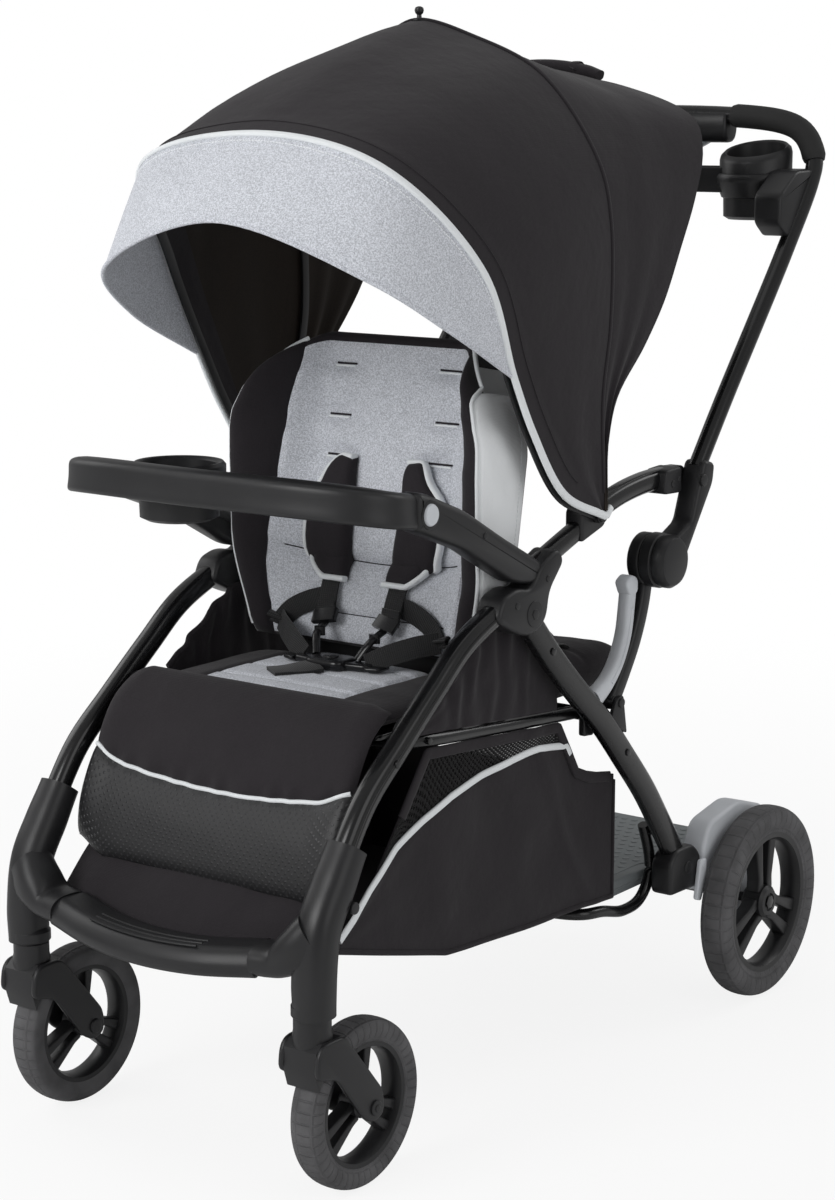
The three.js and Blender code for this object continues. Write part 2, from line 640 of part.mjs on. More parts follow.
const armShares = [[0, 0], [0.12, 0.3], [0.36, 0.57], [0.68, 0.8], [1, 1]];

function lowerArm() {
  const places = between(disc, lug, armShares);
  const width = arm.outer - arm.inner;
  const beam = sideTube((arm.inner + arm.outer) / 2, places, plateSection(width, arm.width), 7);
  const eye = rodX(lug, lug.radius, arm.inner, arm.outer, 20);
  return cut(join(beam, innerDisc(), eye), rodX(lug, lug.pin + clearance, 0, 2 * arm.outer, 12));
}
addPair("lower_arm", lowerArm(), plastic);

// Grab arms that the standing child holds, on the rear legs

const grabArm = { x: 205, width: 18, depth: 19, top: { y: 108, z: 570 }, foot: { y: 36, z: 444 } };

function grabArmBody() {
  const shares = [[0, 0], [0.05, 0.22], [0.14, 0.48], [0.36, 0.72], [0.64, 0.88], [1, 1]];
  const places = between(grabArm.top, grabArm.foot, shares);
  const beam = sideTube(grabArm.x, places, ovalSection(grabArm.width, grabArm.depth), 8);
  const knob = rodX(grabArm.top, grabArm.depth * 0.62, grabArm.x - grabArm.width / 2, grabArm.x + grabArm.width / 2, 14);
  const hook = sidePlate([
    [grabArm.top.y - grabArm.depth, grabArm.top.z + 2], [grabArm.top.y, grabArm.top.z + 5],
    [grabArm.top.y, grabArm.top.z - 14],
  ], grabArm.x - 4, grabArm.x + 4);
  return cut(join(beam, knob, hook), rearLegTube(2 * clearance));
}
addPair("grab_arm", grabArmBody(), greyPlastic);

// Rear bench: a folded padded seat on a cross tube between the rear legs

const bench = { half: 166, frontY: -34, rearY: 178, base: 420, top: 484, ends: 10, tube: 8, tubeY: 50, tubeZ: 420 };

function benchPad() {
  const { half, frontY, rearY, base, top, ends, tube, tubeY, tubeZ } = bench;
  const mid = (base + top) / 2;
  const seatRise = (top - base) / 2;
  const bulge = (c, d) => Math.pow(Math.max(0, (1 - c ** 8) * (1 - d ** 4)), 0.5);
  const level = (side) => (u, v) => {
    const [c, d] = [2 * u - 1, 2 * v - 1];
    const channel = side > 0 ? 5 * Math.exp(-(((Math.abs(c) - 0.36) / 0.05) ** 2)) : 0;
    return new THREE.Vector3(half * c * (1 - 0.03 * d * d), THREE.MathUtils.lerp(frontY, rearY, v),
      mid + side * (seatRise - channel) * bulge(c, d) + ends * c * c);
  };
  const reach = rearLeg.x - rearLeg.width / 2 - clearance;
  return join(closedGrid(level(1), level(-1), 12, 6), rodX({ y: tubeY, z: tubeZ }, tube, -reach, reach));
}
addPiece("rear_bench", benchPad(), blackCloth);

// Rear axle, platform and wheel guards

function axleRod() {
  const end = rearWheel.x + rearWheel.width / 2;
  const rod = rodX(rearAxle, rearWheel.bore, -end + 2, end - 2, 12);
  const nut = rodX(rearAxle, rearWheel.bore * 1.5, end - rearWheel.width * 0.1 + clearance, end, 6);
  return join(rod, nut, nut.mirror([1, 0, 0]));
}
addPiece("rear_axle", axleRod(), steel);

function platformDeck() {
  const { half, waist, top, thick, frontY, rearY, skirt } = platform;
  const neckY = bracketRearY - 26;
  const plan = (inset) => [
    [-waist + inset, frontY + inset], [waist - inset, frontY + inset], [waist - inset, neckY - 12],
    [half - inset, neckY + inset], [half - inset, rearY - inset], [-half + inset, rearY - inset],
    [-half + inset, neckY + inset], [-waist + inset, neckY - 12],
  ];
  const slab = planPlate(rounded(plan(0), 10), top - thick - skirt, top);
  const hollow = planPlate(plan(6), top - 2 * thick - skirt, top - thick);
  const ribs = [-0.5, 0, 0.5].map((s) => box(s * waist - 2, s * waist + 2, frontY + 4, rearY - 4, top - thick - skirt, top));
  return join(cut(slab, hollow), ...ribs);
}
const bracketRearY = rearLegFoot.y + 30;
const guard = { inner: 188, outer: bracket.outer - clearance, frontY: 271 };

function wheelGuard() {
  const { y, z } = rearAxle;
  const radius = rearWheel.radius;
  const places = rounded([
    [guard.frontY, z + radius * 0.22], [guard.frontY, z + radius * 0.66], [y - radius * 0.66, z + radius * 0.94],
    [y - radius * 0.06, z + radius * 1.05], [y + radius * 0.5, z + radius * 0.88],
    [y + radius * 0.38, z + radius * 0.4], [y + radius * 0.2, z - radius * 0.16],
    [y - radius * 0.2, z - radius * 0.16], [y - radius * 0.4, z + radius * 0.2],
  ], radius * 0.09);
  const body = sidePlate(places, guard.inner, guard.outer);
  return cut(body, rodX(rearAxle, rearWheel.bore + clearance, 0, 2 * guard.outer, 12));
}
addPiece("standing_platform", join(platformDeck(), wheelGuard(), wheelGuard().mirror([1, 0, 0])), greyPlastic);

const brake = { y: 262, z: 192, thick: 6, length: 46, radius: 7, pin: 3 };

function brakeLever() {
  const x0 = bracket.outer + clearance * 1.5;
  const { y, z, length, radius, thick } = brake;
  const body = sidePlate(rounded([
    [y - radius, z + radius], [y + radius, z + radius], [y + radius * 1.2, z - length * 0.4],
    [y - radius * 0.6, z - length], [y - radius * 2.2, z - length * 0.92],
  ], radius * 0.5), x0, x0 + thick);
  return cut(body, rodX(brake, brake.pin + clearance, 0, 2 * bracket.outer, 10));
}
addPair("brake_lever", brakeLever(), greyPlastic);

// Rear hoop under the basket

const hoop = { x: 180, radius: 7, frontY: 54, z: 167 };

function rearHoop() {
  const { x, radius, frontY, z } = hoop;
  const right = [
    [x, 192, z + 85], [x, 207, z + 44], [x, 209, z + 18], [x, 186, z - 9], [x, 148, z - 14],
    [x, frontY + 46, z - 3], [x - radius, frontY + 14, z], [x - 5 * radius, frontY, z],
  ];
  const left = right.map(([a, b, c]) => [-a, b, c]).reverse();
  const tube = sweepCurve(curveThrough([...right, ...left]), ovalSection(2 * radius, 2 * radius, 8), 34,
    new THREE.Vector3(0.05, 0.05, 1));
  const tie = rodX({ y: 196, z: z + 76 }, rivetRadius, x, rearLeg.x - rearLeg.width / 2 - clearance, 8);
  return join(tube, tie, tie.mirror([1, 0, 0]));
}
addPiece("rear_hoop", rearHoop(), paint);

// Seat frame, seat, calf pad, apron and side panels

const hinge = { y: back.hingeY, z: back.hingeZ, rod: 6, inner: 176.6, outer: 182.6 };

function seatFrame() {
  const { x, radius, frontY, frontZ, rearY, rearZ, corner } = rail;
  const right = [
    [x, rearY, rearZ], [x, (rearY + frontY) / 2, (rearZ + frontZ) / 2], [x, frontY + corner, frontZ - 1],
    [x - corner * 0.3, frontY + corner * 0.3, frontZ], [x - corner, frontY, frontZ], [0, frontY, frontZ],
  ];
  const left = right.slice(0, -1).map(([a, b, c]) => [-a, b, c]).reverse();
  const tube = sweepCurve(curveThrough([...right, ...left]), ovalSection(2 * radius, 2 * radius), 30,
    new THREE.Vector3(0, 0, 1));
  const ear = cut(sidePlate(rounded([
    [hinge.y - 22, rail.rearZ + 14], [hinge.y - 10, hinge.z + 10], [hinge.y + 10, hinge.z + 10],
    [hinge.y + 22, rail.rearZ + 11],
  ], 8), hinge.inner, hinge.outer), rodX(hinge, hinge.rod + clearance, 0, 2 * x));
  const tie = rodX({ y: frontY + corner, z: frontZ }, rivetRadius, x, leg.x - leg.width / 2 - clearance, 8);
  const both = (shape) => [shape, shape.mirror([1, 0, 0])];
  const board = box(-seat.half, seat.half, seat.front, seat.rear, seat.base - seat.board - clearance,
    seat.base - clearance);
  return join(tube, board, ...both(ear), ...both(tie));
}
addPiece("seat_frame", seatFrame(), paint);

function seatPad() {
  const mid = (seat.base + seat.top) / 2;
  const level = (side) => (u, v) => {
    const [c, d] = [2 * u - 1, 2 * v - 1];
    const soft = Math.pow(Math.max(0, (1 - c ** 8) * (1 - d ** 8)), 0.5);
    const channel = side > 0 ? 2.5 * Math.exp(-(((Math.abs(c) - 0.62) / 0.06) ** 2)) : 0;
    const crown = side > 0 ? 4 * (1 - c * c) : 0;
    const half = side > 0 ? seat.top - mid : mid - seat.base;
    return new THREE.Vector3(seat.half * c, THREE.MathUtils.lerp(seat.front, seat.rear, v),
      mid + side * (half + crown - channel) * soft);
  };
  return closedGrid(level(1), level(-1), 12, 6);
}
addPiece("seat_pad", seatPad(), greyCloth);

const calf = { half: 181, thick: 17, topY: -341, topZ: 500, lowY: -404, lowZ: 302 };

function calfFront(u, v) {
  const c = 2 * u - 1;
  const y = THREE.MathUtils.lerp(calf.topY, calf.lowY, 1 - Math.pow(1 - v, 1.8));
  const bulge = v > 0.5 ? 6 * Math.sin((v - 0.5) * 2 * Math.PI) : 0;
  return new THREE.Vector3(calf.half * c, y - bulge * (1 - c ** 4), THREE.MathUtils.lerp(calf.topZ, calf.lowZ, v));
}

const apron = { half: 168, thick: 3, topY: -390, topZ: 308, lowY: -448, lowZ: 281 };

function apronFront(u, v) {
  const c = 2 * u - 1;
  return new THREE.Vector3(apron.half * c, THREE.MathUtils.lerp(apron.lowY, apron.topY, v),
    THREE.MathUtils.lerp(apron.lowZ, apron.topZ, v));
}
const calfHem = box(-seat.half + 14, seat.half - 14, calf.topY - 8, seat.front - clearance,
  seat.base - seat.board - clearance, seat.base - clearance);
addPiece("calf_pad", join(sheet((u, v) => calfFront(u, 1 - v), calf.thick, 8, 7),
  sheet(apronFront, apron.thick, 6, 2), calfHem), blackCloth);

const panel = { inner: 184.7, outer: 187.7 };

function sidePanel() {
  const railTop = (y) => THREE.MathUtils.mapLinear(y, rail.frontY, rail.rearY, rail.frontZ, rail.rearZ)
    + rail.radius + 3 * clearance;
  const frontY = seat.front + 30;
  const rearY = rail.rearY - 44;
  return sidePlate([
    [frontY, railTop(frontY)], [rearY, railTop(rearY)], [rearY - 8, knuckle.pivot.z - 44],
    [knuckle.pivot.y + 20, knuckle.pivot.z], [legTop.y, legTop.z - 22], [frontY + 74, railTop(frontY) + 62],
  ], panel.inner, panel.outer);
}
addPair("side_panel", sidePanel(), blackCloth);

// Basket, open at the top

function basketBody() {
  const { half, wall } = basket;
  const low = [[-428, 258], [-344, 234], [-227, 202], [-77, 191], [46, 186], [114, 181]];
  const railUnder = (y) => THREE.MathUtils.mapLinear(y, rail.frontY, rail.rearY, rail.frontZ, rail.rearZ)
    - rail.radius - 2 * clearance;
  const top = [[104, 334], [31, 352], [-8, railUnder(-8)], [-262, railUnder(-262)], [-352, 322], [-392, 284]];
  const outer = sidePlate([...low, ...top], -half, half);
  const inner = sidePlate([
    ...low.map(([y, z], i) => [y + (i === 0 ? wall : i === low.length - 1 ? -wall : 0), z + wall]),
    [104 - wall, 334], [94, 600], [-280, 600], [-392 + wall, 284 + wall],
  ], -half + wall, half - wall);
  return cut(outer, inner);
}
addPiece("basket", basketBody(), blackCloth);

// Backrest in its leaning frame: height along it, and distance in front of its back face

const leanAngle = THREE.MathUtils.degToRad(back.lean);

function leaning(x, height, ahead) {
  return new THREE.Vector3(x, back.hingeY + height * Math.sin(leanAngle) - ahead * Math.cos(leanAngle),
    back.hingeZ + height * Math.cos(leanAngle) + ahead * Math.sin(leanAngle));
}

function wingDepth(v) {
  return back.wing * ease(v / 0.5) * (1 - 0.8 * ease((v - 0.72) / 0.3));
}

function backPlace(u, v) {
  const c = 2 * u - 1;
  const a = Math.abs(c);
  const fall = 78 * ease((a - 0.45) / 0.55) * v * v;
  const narrow = 1 - 0.1 * ease((v - 0.7) / 0.3) - 0.1 * ease((0.3 - v) / 0.3);
  const wing = wingDepth(v) * ease((a - 0.5) / 0.5);
  return leaning(back.half * narrow * c, back.lift + back.height * v - fall, back.thick + wing);
}

function backPad() {
  const edge = (u, v) => {
    const [c, d] = [2 * u - 1, 2 * v - 1];
    return Math.pow(Math.max(0, (1 - c ** 10) * (1 - d ** 10)), 0.5);
  };
  const thickness = (u, v) => -(6 + (back.thick - 8) * edge(u, v) * (1 - 0.25 * Math.abs(2 * u - 1)));
  return closedGrid(backPlace, raised(backPlace, thickness), 14, 9);
}
addPiece("backrest_pad", backPad(), greyCloth);

function backBoard() {
  const half = back.half * 0.62;
  const panelPlaces = [[-half, 0], [half, 0], [half * 0.94, back.height * 0.92], [-half * 0.94, back.height * 0.92]];
  const turn = new THREE.Matrix4().makeBasis(new THREE.Vector3(1, 0, 0),
    new THREE.Vector3(0, Math.sin(leanAngle), Math.cos(leanAngle)),
    new THREE.Vector3(0, -Math.cos(leanAngle), Math.sin(leanAngle)));
  const plate = solid(extruded(rounded(panelPlaces, 20), back.board).translate(0, 0, back.seated - back.board)
    .applyMatrix4(turn).translate(0, back.hingeY, back.hingeZ));
  const rod = rodX(hinge, hinge.rod, -hinge.outer + clearance, hinge.outer - clearance, 14);
  return join(plate, rod);
}
addPiece("backrest_board", backBoard(), plastic);

// Harness: padded shoulder straps on the backrest, and the waist belt with its buckle

const strap = { x: 52, pad: 29, padLow: 0.4, padHigh: 0.72, thick: 11, belt: 17, beltThick: 2.4 };

function harnessStrap() {
  const uOf = (x) => (x / back.half + 1) / 2;
  const onBack = (x, v, ahead) => raised(backPlace, () => ahead)(uOf(x), v);
  const padFront = (u, v) => {
    const [c, d] = [2 * u - 1, 2 * v - 1];
    const soft = Math.pow(Math.max(0, (1 - c ** 6) * (1 - d ** 6)), 0.5);
    return onBack(strap.x + strap.pad * c * (1 - 0.25 * d * d),
      THREE.MathUtils.lerp(strap.padLow, strap.padHigh, v), 2 + strap.thick * soft);
  };
  const padBack = (u, v) => {
    const [c, d] = [2 * u - 1, 2 * v - 1];
    return onBack(strap.x + strap.pad * c * (1 - 0.25 * d * d),
      THREE.MathUtils.lerp(strap.padLow, strap.padHigh, v), 1);
  };
  const pad = closedGrid(padFront, padBack, 4, 6);
  const belt = closedGrid(
    (u, v) => onBack(strap.x + strap.belt * (2 * u - 1), 0.08 + 0.74 * v, 1 + strap.beltThick),
    (u, v) => onBack(strap.x + strap.belt * (2 * u - 1), 0.08 + 0.74 * v, 1), 1, 9);
  return join(pad, belt);
}
addPair("harness_strap", harnessStrap(), webbing);

const buckle = { y: -196, half: 26, depth: 40, height: 12 };

function waistBelt() {
  const z0 = seat.top + 4.3;
  const core = planPlate(rounded([
    [-buckle.half, buckle.y - buckle.depth / 2], [buckle.half, buckle.y - buckle.depth / 2],
    [buckle.half, buckle.y + buckle.depth / 2], [-buckle.half, buckle.y + buckle.depth / 2],
  ], 8), z0, z0 + buckle.height);
  const belt = planPlate([
    [-seat.half * 0.72, buckle.y + 24], [-buckle.half, buckle.y - 14], [buckle.half, buckle.y - 14],
    [seat.half * 0.72, buckle.y + 24], [seat.half * 0.6, buckle.y + 50], [buckle.half, buckle.y + 12],
    [-buckle.half, buckle.y + 12], [-seat.half * 0.6, buckle.y + 50],
  ], z0, z0 + strap.beltThick);
  return join(core, belt);
}
addPiece("waist_belt", waistBelt(), webbing);

// Armrests with a tray socket, push button and tray latch

const armrest = { inner: 188, outer: 220, button: 12, well: 8.4, travel: 3 };
const armShape = [
  [0, 20], [17, 18], [88, -9], [158, -47], [232, -84], [238, -104], [224, -110], [179, -101], [88, -52], [12, -24], [0, -20],
];
const button = { y: childTray.seamY + 21, z: childTray.seamZ - 5 };
const tongue = { inner: 192, outer: 208, height: 16, depth: 12 };

function armrestBody() {
  const places = armShape.map(([y, z]) => [childTray.seamY + clearance + y, childTray.seamZ + z]);
  const body = sidePlate(rounded(places, 6), armrest.inner, armrest.outer);
  const grown = knucklePlaces.map(([y, z]) => [
    knuckle.pivot.y + (y - knuckle.pivot.y) * 1.014, knuckle.pivot.z + (z - knuckle.pivot.z) * 1.014]);
  const seatCut = sidePlate(rounded(grown, knuckleSize * 0.1), 0, 2 * leg.x);
  const buttonHole = rodX(button, armrest.button + clearance, armrest.outer - armrest.well, 2 * leg.x, 20);
  const socket = box(tongue.inner - clearance, tongue.outer + clearance, childTray.seamY - overrun,
    childTray.seamY + tongue.depth + clearance, childTray.seamZ - tongue.height / 2 - clearance,
    childTray.seamZ + tongue.height / 2 + clearance);
  return cut(body, seatCut, arcTube(3 * clearance), legTube(3 * clearance), buttonHole, socket);
}
addPair("armrest", armrestBody(), plastic);

addPair("tray_button", rodX(button, armrest.button, armrest.outer - armrest.well + armrest.travel + clearance,
  armrest.outer + armrest.travel, 20), greyPlastic);

// Child tray with its cup holder

function childTrayBody() {
  const { half, frontY, seamY, seamZ, band, lift } = childTray;
  const right = [
    [half - 12, seamY + overrun, seamZ], [half - 5, seamY - 40, seamZ + lift * 0.4],
    [half - 22, frontY + 34, seamZ + lift * 0.75], [half - 80, frontY + 12, seamZ + lift],
    [0, frontY + 8, seamZ + lift],
  ];
  const left = right.slice(0, -1).map(([x, y, z]) => [-x, y, z]).reverse();
  const section = rounded([[-band / 2, -15], [band / 2, -11], [band / 2, 13], [-band / 2, 17]], 7, 1);
  const beyondSeam = box(-2 * half, 2 * half, seamY - clearance, seamY + 4 * overrun, seamZ - 2 * band, seamZ + 2 * band);
  const bar = cut(sweepCurve(curveThrough([...right, ...left]), section, 22, new THREE.Vector3(0, 0, 1)), beyondSeam);
  const webZ = seamZ + lift * 0.6;
  const web = planPlate(rounded([
    [-half + 28, frontY + 40], [-half + 70, frontY + 16], [half - 70, frontY + 16], [half - 28, frontY + 40],
    [half - 60, seamY + 6], [childCup.x + 2 * childCup.ring, seamY + 2], [childCup.x + childCup.ring, seamY + 34],
    [childCup.x - childCup.ring, seamY + 34], [-half + 50, seamY + 2],
  ], 14), webZ - 3, webZ + 3);
  const ring = rodZ(childCup.x, childCup.y, childCup.ring, webZ, webZ + lift, 20);
  const well = rodZ(childCup.x, childCup.y, childCup.radius + childCup.wall, webZ - childCup.depth * 0.75, webZ, 20);
  const bore = rodZ(childCup.x, childCup.y, childCup.radius, webZ - childCup.depth * 0.75 + childCup.wall, webZ + 2 * lift, 20);
  const peg = box(tongue.inner, tongue.outer, seamY - 14, seamY + tongue.depth, seamZ - tongue.height / 2,
    seamZ + tongue.height / 2);
  return cut(join(bar, web, ring, well, peg, peg.mirror([1, 0, 0])), bore);
}
addPiece("child_tray", childTrayBody(), plastic);

// Canopy: hoops as shares of its half width and rise, measured from the pivot

const frontHoopShares = [
  [1, 0, 0], [1, -0.153, 0.063], [1, -0.263, 0.196], [1, -0.331, 0.311], [1, -0.439, 0.522],
  [0.735, -0.61, 0.716], [0, -0.624, 0.775],
];
const brimHoopShares = [[1, -0.331, 0.311], [1, -0.536, 0.412], [0.825, -0.689, 0.511], [0, -0.741, 0.615]];
const brimSeamShares = [[1, -0.331, 0.311], [1, -0.439, 0.522], [0.735, -0.61, 0.716], [0, -0.624, 0.775]];
const midHoopShares = [
  [1, 0, 0], [1, -0.013, 0.241], [1, 0.013, 0.403], [1, 0.007, 0.606], [0.965, -0.02, 0.72],
  [0.68, -0.049, 0.888], [0.27, -0.068, 0.968], [0, -0.095, 1],
];
const rearHoopShares = [
  [1, 0, 0.034], [1, 0.009, 0.135], [1, 0.04, 0.236], [1, 0.146, 0.34], [1, 0.221, 0.428], [1, 0.277, 0.531],
  [1, 0.351, 0.653], [0.98, 0.367, 0.759], [0.9, 0.403, 0.793], [0.45, 0.406, 0.87], [0, 0.428, 0.892],
];

const hoopSteps = 24;

function hoopCurve(shares, half, inset = 0) {
  const rise = canopy.rise - inset;
  const right = shares.map(([sx, sy, sz]) => [sx * half, canopy.y + sy * rise, canopy.z + sz * rise]);
  const left = right.slice(0, -1).map(([x, y, z]) => [-x, y, z]).reverse();
  return curveThrough([...right, ...left]);
}

function clothBetween(firstShares, secondShares, sag) {
  const outer = canopy.half + canopy.cloth;
  const first = hoopCurve(firstShares, outer);
  const second = hoopCurve(secondShares, outer);
  return (u, v) => {
    const a = first.getPointAt(u);
    const b = second.getPointAt(u);
    const droop = sag * Math.sin(Math.PI * v) * Math.sin(Math.PI * u);
    return a.lerp(b, v).sub(new THREE.Vector3(0, 0, droop));
  };
}

function canopyCloth(firstShares, secondShares, sag, from, to) {
  const place = clothBetween(firstShares, secondShares, sag);
  return sheet((u, v) => place(1 - u, THREE.MathUtils.lerp(from, to, v)), canopy.cloth, hoopSteps, 3);
}

function bowStrip(shares, inner) {
  const half = inner + canopy.strip / 2;
  const strip = sweepCurve(hoopCurve(shares, half, canopy.half - half + canopy.cloth + canopy.strip),
    plateSection(canopy.bow, canopy.strip), hoopSteps, lengthways);
  const eye = rodX(canopy, canopy.bow * 0.7, inner, inner + canopy.strip, 14);
  const hole = rodX(canopy, rivetRadius + clearance, -canopy.half, canopy.half, 12);
  return cut(join(strip, eye, eye.mirror([1, 0, 0])), hole);
}
addPiece("front_bow", bowStrip(frontHoopShares, bowInner.front), plastic);
addPiece("mid_bow", bowStrip(midHoopShares, bowInner.mid), plastic);
addPiece("canopy_front", canopyCloth(frontHoopShares, midHoopShares, 8, 0.005, 0.988), blackCloth);
addPiece("canopy_rear", canopyCloth(midHoopShares, rearHoopShares, 6, 0.012, 1), blackCloth);
addPiece("canopy_brim", canopyCloth(brimHoopShares, brimSeamShares, -6, 0, 0.99), greyCloth);

export default group;
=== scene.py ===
import math

import bmesh
import bpy
from mathutils import Matrix, Vector, noise


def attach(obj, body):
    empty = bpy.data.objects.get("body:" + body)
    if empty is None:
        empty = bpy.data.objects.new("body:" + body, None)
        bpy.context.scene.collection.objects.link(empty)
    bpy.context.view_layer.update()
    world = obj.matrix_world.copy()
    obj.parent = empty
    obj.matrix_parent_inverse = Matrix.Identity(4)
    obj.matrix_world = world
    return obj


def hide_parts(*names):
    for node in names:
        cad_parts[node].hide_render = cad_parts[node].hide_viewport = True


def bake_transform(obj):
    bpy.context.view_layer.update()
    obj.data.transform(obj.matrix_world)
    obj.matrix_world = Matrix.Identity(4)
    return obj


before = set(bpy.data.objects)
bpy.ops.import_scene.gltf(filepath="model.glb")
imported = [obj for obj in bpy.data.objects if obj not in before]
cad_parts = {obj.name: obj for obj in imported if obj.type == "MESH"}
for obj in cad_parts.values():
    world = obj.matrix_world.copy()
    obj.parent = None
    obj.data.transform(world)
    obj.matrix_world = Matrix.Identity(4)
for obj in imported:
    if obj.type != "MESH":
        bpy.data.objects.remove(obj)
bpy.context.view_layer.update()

# A sit and stand stroller. Lengths are in millimetres, in the frame of the CAD model, and become metres
# where a mesh is made. The camera, the lamps, the floor and the canopy's start and end places are in metres.

MM = 0.001

# Camera at the photograph's viewing angle

PHOTO_AZIMUTH, PHOTO_ELEVATION, PHOTO_DISTANCE = 36.784, 10.970, 3.0016
PHOTO_TARGET = Vector((0.0, -0.0321, 0.5478))
PHOTO_LENS, SENSOR = 76.10, 36.0


def photo_camera():
    a, e = math.radians(PHOTO_AZIMUTH), math.radians(PHOTO_ELEVATION)
    back = Vector((math.sin(a) * math.cos(e), -math.cos(a) * math.cos(e), math.sin(e)))
    data = bpy.data.cameras.new("photo_camera")
    data.sensor_fit = "AUTO"
    data.sensor_width = SENSOR
    data.lens = PHOTO_LENS
    camera = bpy.data.objects.new("photo_camera", data)
    camera.location = PHOTO_TARGET + back * PHOTO_DISTANCE
    camera.rotation_mode = "QUATERNION"
    camera.rotation_quaternion = (-back).to_track_quat("-Z", "Y")
    bpy.context.collection.objects.link(camera)
    bpy.context.scene.camera = camera


photo_camera()

# Materials


class Nodes:
    """A small builder for one material's node tree."""

    def __init__(self, name):
        self.material = bpy.data.materials.new(name)
        self.material.use_nodes = True
        self.tree = self.material.node_tree
        self.shader = self.tree.nodes["Principled BSDF"]

    def add(self, kind, values=(), **settings):
        node = self.tree.nodes.new(kind)
        for key, value in settings.items():
            setattr(node, key, value)
        for key, value in dict(values).items():
            node.inputs[key].default_value = value
        return node

    def link(self, source, target):
        self.tree.links.new(source, target)

    def coordinates(self, kind="Object"):
        return self.add("ShaderNodeTexCoord").outputs[kind]

    def noise(self, where, scale, detail=2.0, rough=0.5):
        node = self.add("ShaderNodeTexNoise", {"Scale": scale, "Detail": detail, "Roughness": rough})
        self.link(where, node.inputs["Vector"])
        return node.outputs["Fac"]

    def wave(self, where, scale, distortion, direction):
        values = {"Scale": scale, "Distortion": distortion}
        node = self.add("ShaderNodeTexWave", values, bands_direction=direction)
        self.link(where, node.inputs["Vector"])
        return node.outputs["Fac"]

    def cells(self, where, scale, turn=0.0, **settings):
        """Distances in a regular pattern of cells, scaled and turned in its plane."""
        spread = self.add("ShaderNodeMapping", {"Scale": scale, "Rotation": (0.0, 0.0, turn)})
        self.link(where, spread.inputs["Vector"])
        node = self.add("ShaderNodeTexVoronoi", {"Scale": 1.0, "Randomness": 0.0}, **settings)
        self.link(spread.outputs["Vector"], node.inputs["Vector"])
        return node.outputs["Distance"]

    def ramp(self, value, stops):
        node = self.add("ShaderNodeValToRGB")
        elements = node.color_ramp.elements
        while len(elements) < len(stops):
            elements.new(0.5)
        for element, (place, color) in zip(elements, stops):
            element.position = place
            element.color = (*color, 1.0) if hasattr(color, "__len__") else (color, color, color, 1.0)
        self.link(value, node.inputs["Fac"])
        return node.outputs["Color"]

    def math(self, operation, a, b):
        node = self.add("ShaderNodeMath", operation=operation)
        for socket, value in zip(node.inputs, (a, b)):
            if isinstance(value, (int, float)):
                socket.default_value = value
            else:
                self.link(value, socket)
        return node.outputs["Value"]

    def mix(self, share, a, b):
        node = self.add("ShaderNodeMix", {0: share}, data_type="RGBA")
        self.link(a, node.inputs[6])
        self.link(b, node.inputs[7])
        return node.outputs[2]

    def bump(self, height, strength, distance, under=None):
        node = self.add("ShaderNodeBump", {"Strength": strength, "Distance": distance})
        self.link(height, node.inputs["Height"])
        if under is not None:
            self.link(under, node.inputs["Normal"])
        return node.outputs["Normal"]

    def finish(self, color=None, rough=None, normal=None, **constants):
        if color is not None:
            self.link(color, self.shader.inputs["Base Color"])
        if rough is not None:
            self.link(rough, self.shader.inputs["Roughness"])
        if normal is not None:
            self.link(normal, self.shader.inputs["Normal"])
        for key, value in constants.items():
            self.shader.inputs[key.replace("_", " ")].default_value = value
        return self.material


THREADS = 250.0
DIAGONAL = math.radians(45)


def shade(color, factor):
    return tuple(c * factor for c in color)


def plastic(name, color, rough=0.5, grain=0.08):
    m = Nodes(name)
    where = m.coordinates()
    cloud = m.noise(where, 9.0, 3.0)
    fine = m.noise(where, 900.0, 2.0)
    tone = m.ramp(cloud, [(0.3, shade(color, 0.86)), (0.7, shade(color, 1.14))])
    gloss = m.ramp(cloud, [(0.3, rough - 0.06), (0.7, rough + 0.06)])
    return m.finish(tone, gloss, m.bump(fine, grain, 0.0006), Specular_IOR_Level=0.36)


def painted(name, color, rough=0.3):
    m = Nodes(name)
    where = m.coordinates()
    cloud = m.noise(where, 14.0, 3.0)
    orange_peel = m.noise(where, 420.0, 1.0)
    tone = m.ramp(cloud, [(0.35, shade(color, 0.85)), (0.7, shade(color, 1.2))])
    gloss = m.ramp(cloud, [(0.3, rough - 0.04), (0.75, rough + 0.08)])
    return m.finish(tone, gloss, m.bump(orange_peel, 0.02, 0.0002), Specular_IOR_Level=0.3, Coat_Weight=0.35,
                    Coat_Roughness=0.12)


def woven(name, color, tint, speckle=0.1, sheen=0.3, cloudy=0.12, creases=0.12):
    """Plain weave: fine crossed threads in the bump, and a melange of color and tint."""
    m = Nodes(name)
    where = m.coordinates()
    grain = m.noise(where, 620.0, 2.0, 0.7)
    cloud = m.noise(where, 11.0, 3.0)
    mixed = m.ramp(grain, [(0.5 - speckle * 2.5, color), (0.5 + speckle * 2.5, tint)])
    tone = m.mix(cloudy, mixed, m.ramp(cloud, [(0.3, shade(color, 0.7)), (0.75, tint)]))
    height = m.math("ADD", m.wave(where, THREADS, 0.6, "Z"), m.wave(where, THREADS, 0.6, "X"))
    wrinkle = m.noise(where, 24.0, 3.0, 0.55)
    normal = m.bump(height, 0.25, 0.0003, m.bump(wrinkle, creases, 0.004))
    rough = m.ramp(cloud, [(0.3, 0.86), (0.7, 0.95)])
    return m.finish(tone, rough, normal, Sheen_Weight=sheen, Sheen_Roughness=0.5, Specular_IOR_Level=0.25)


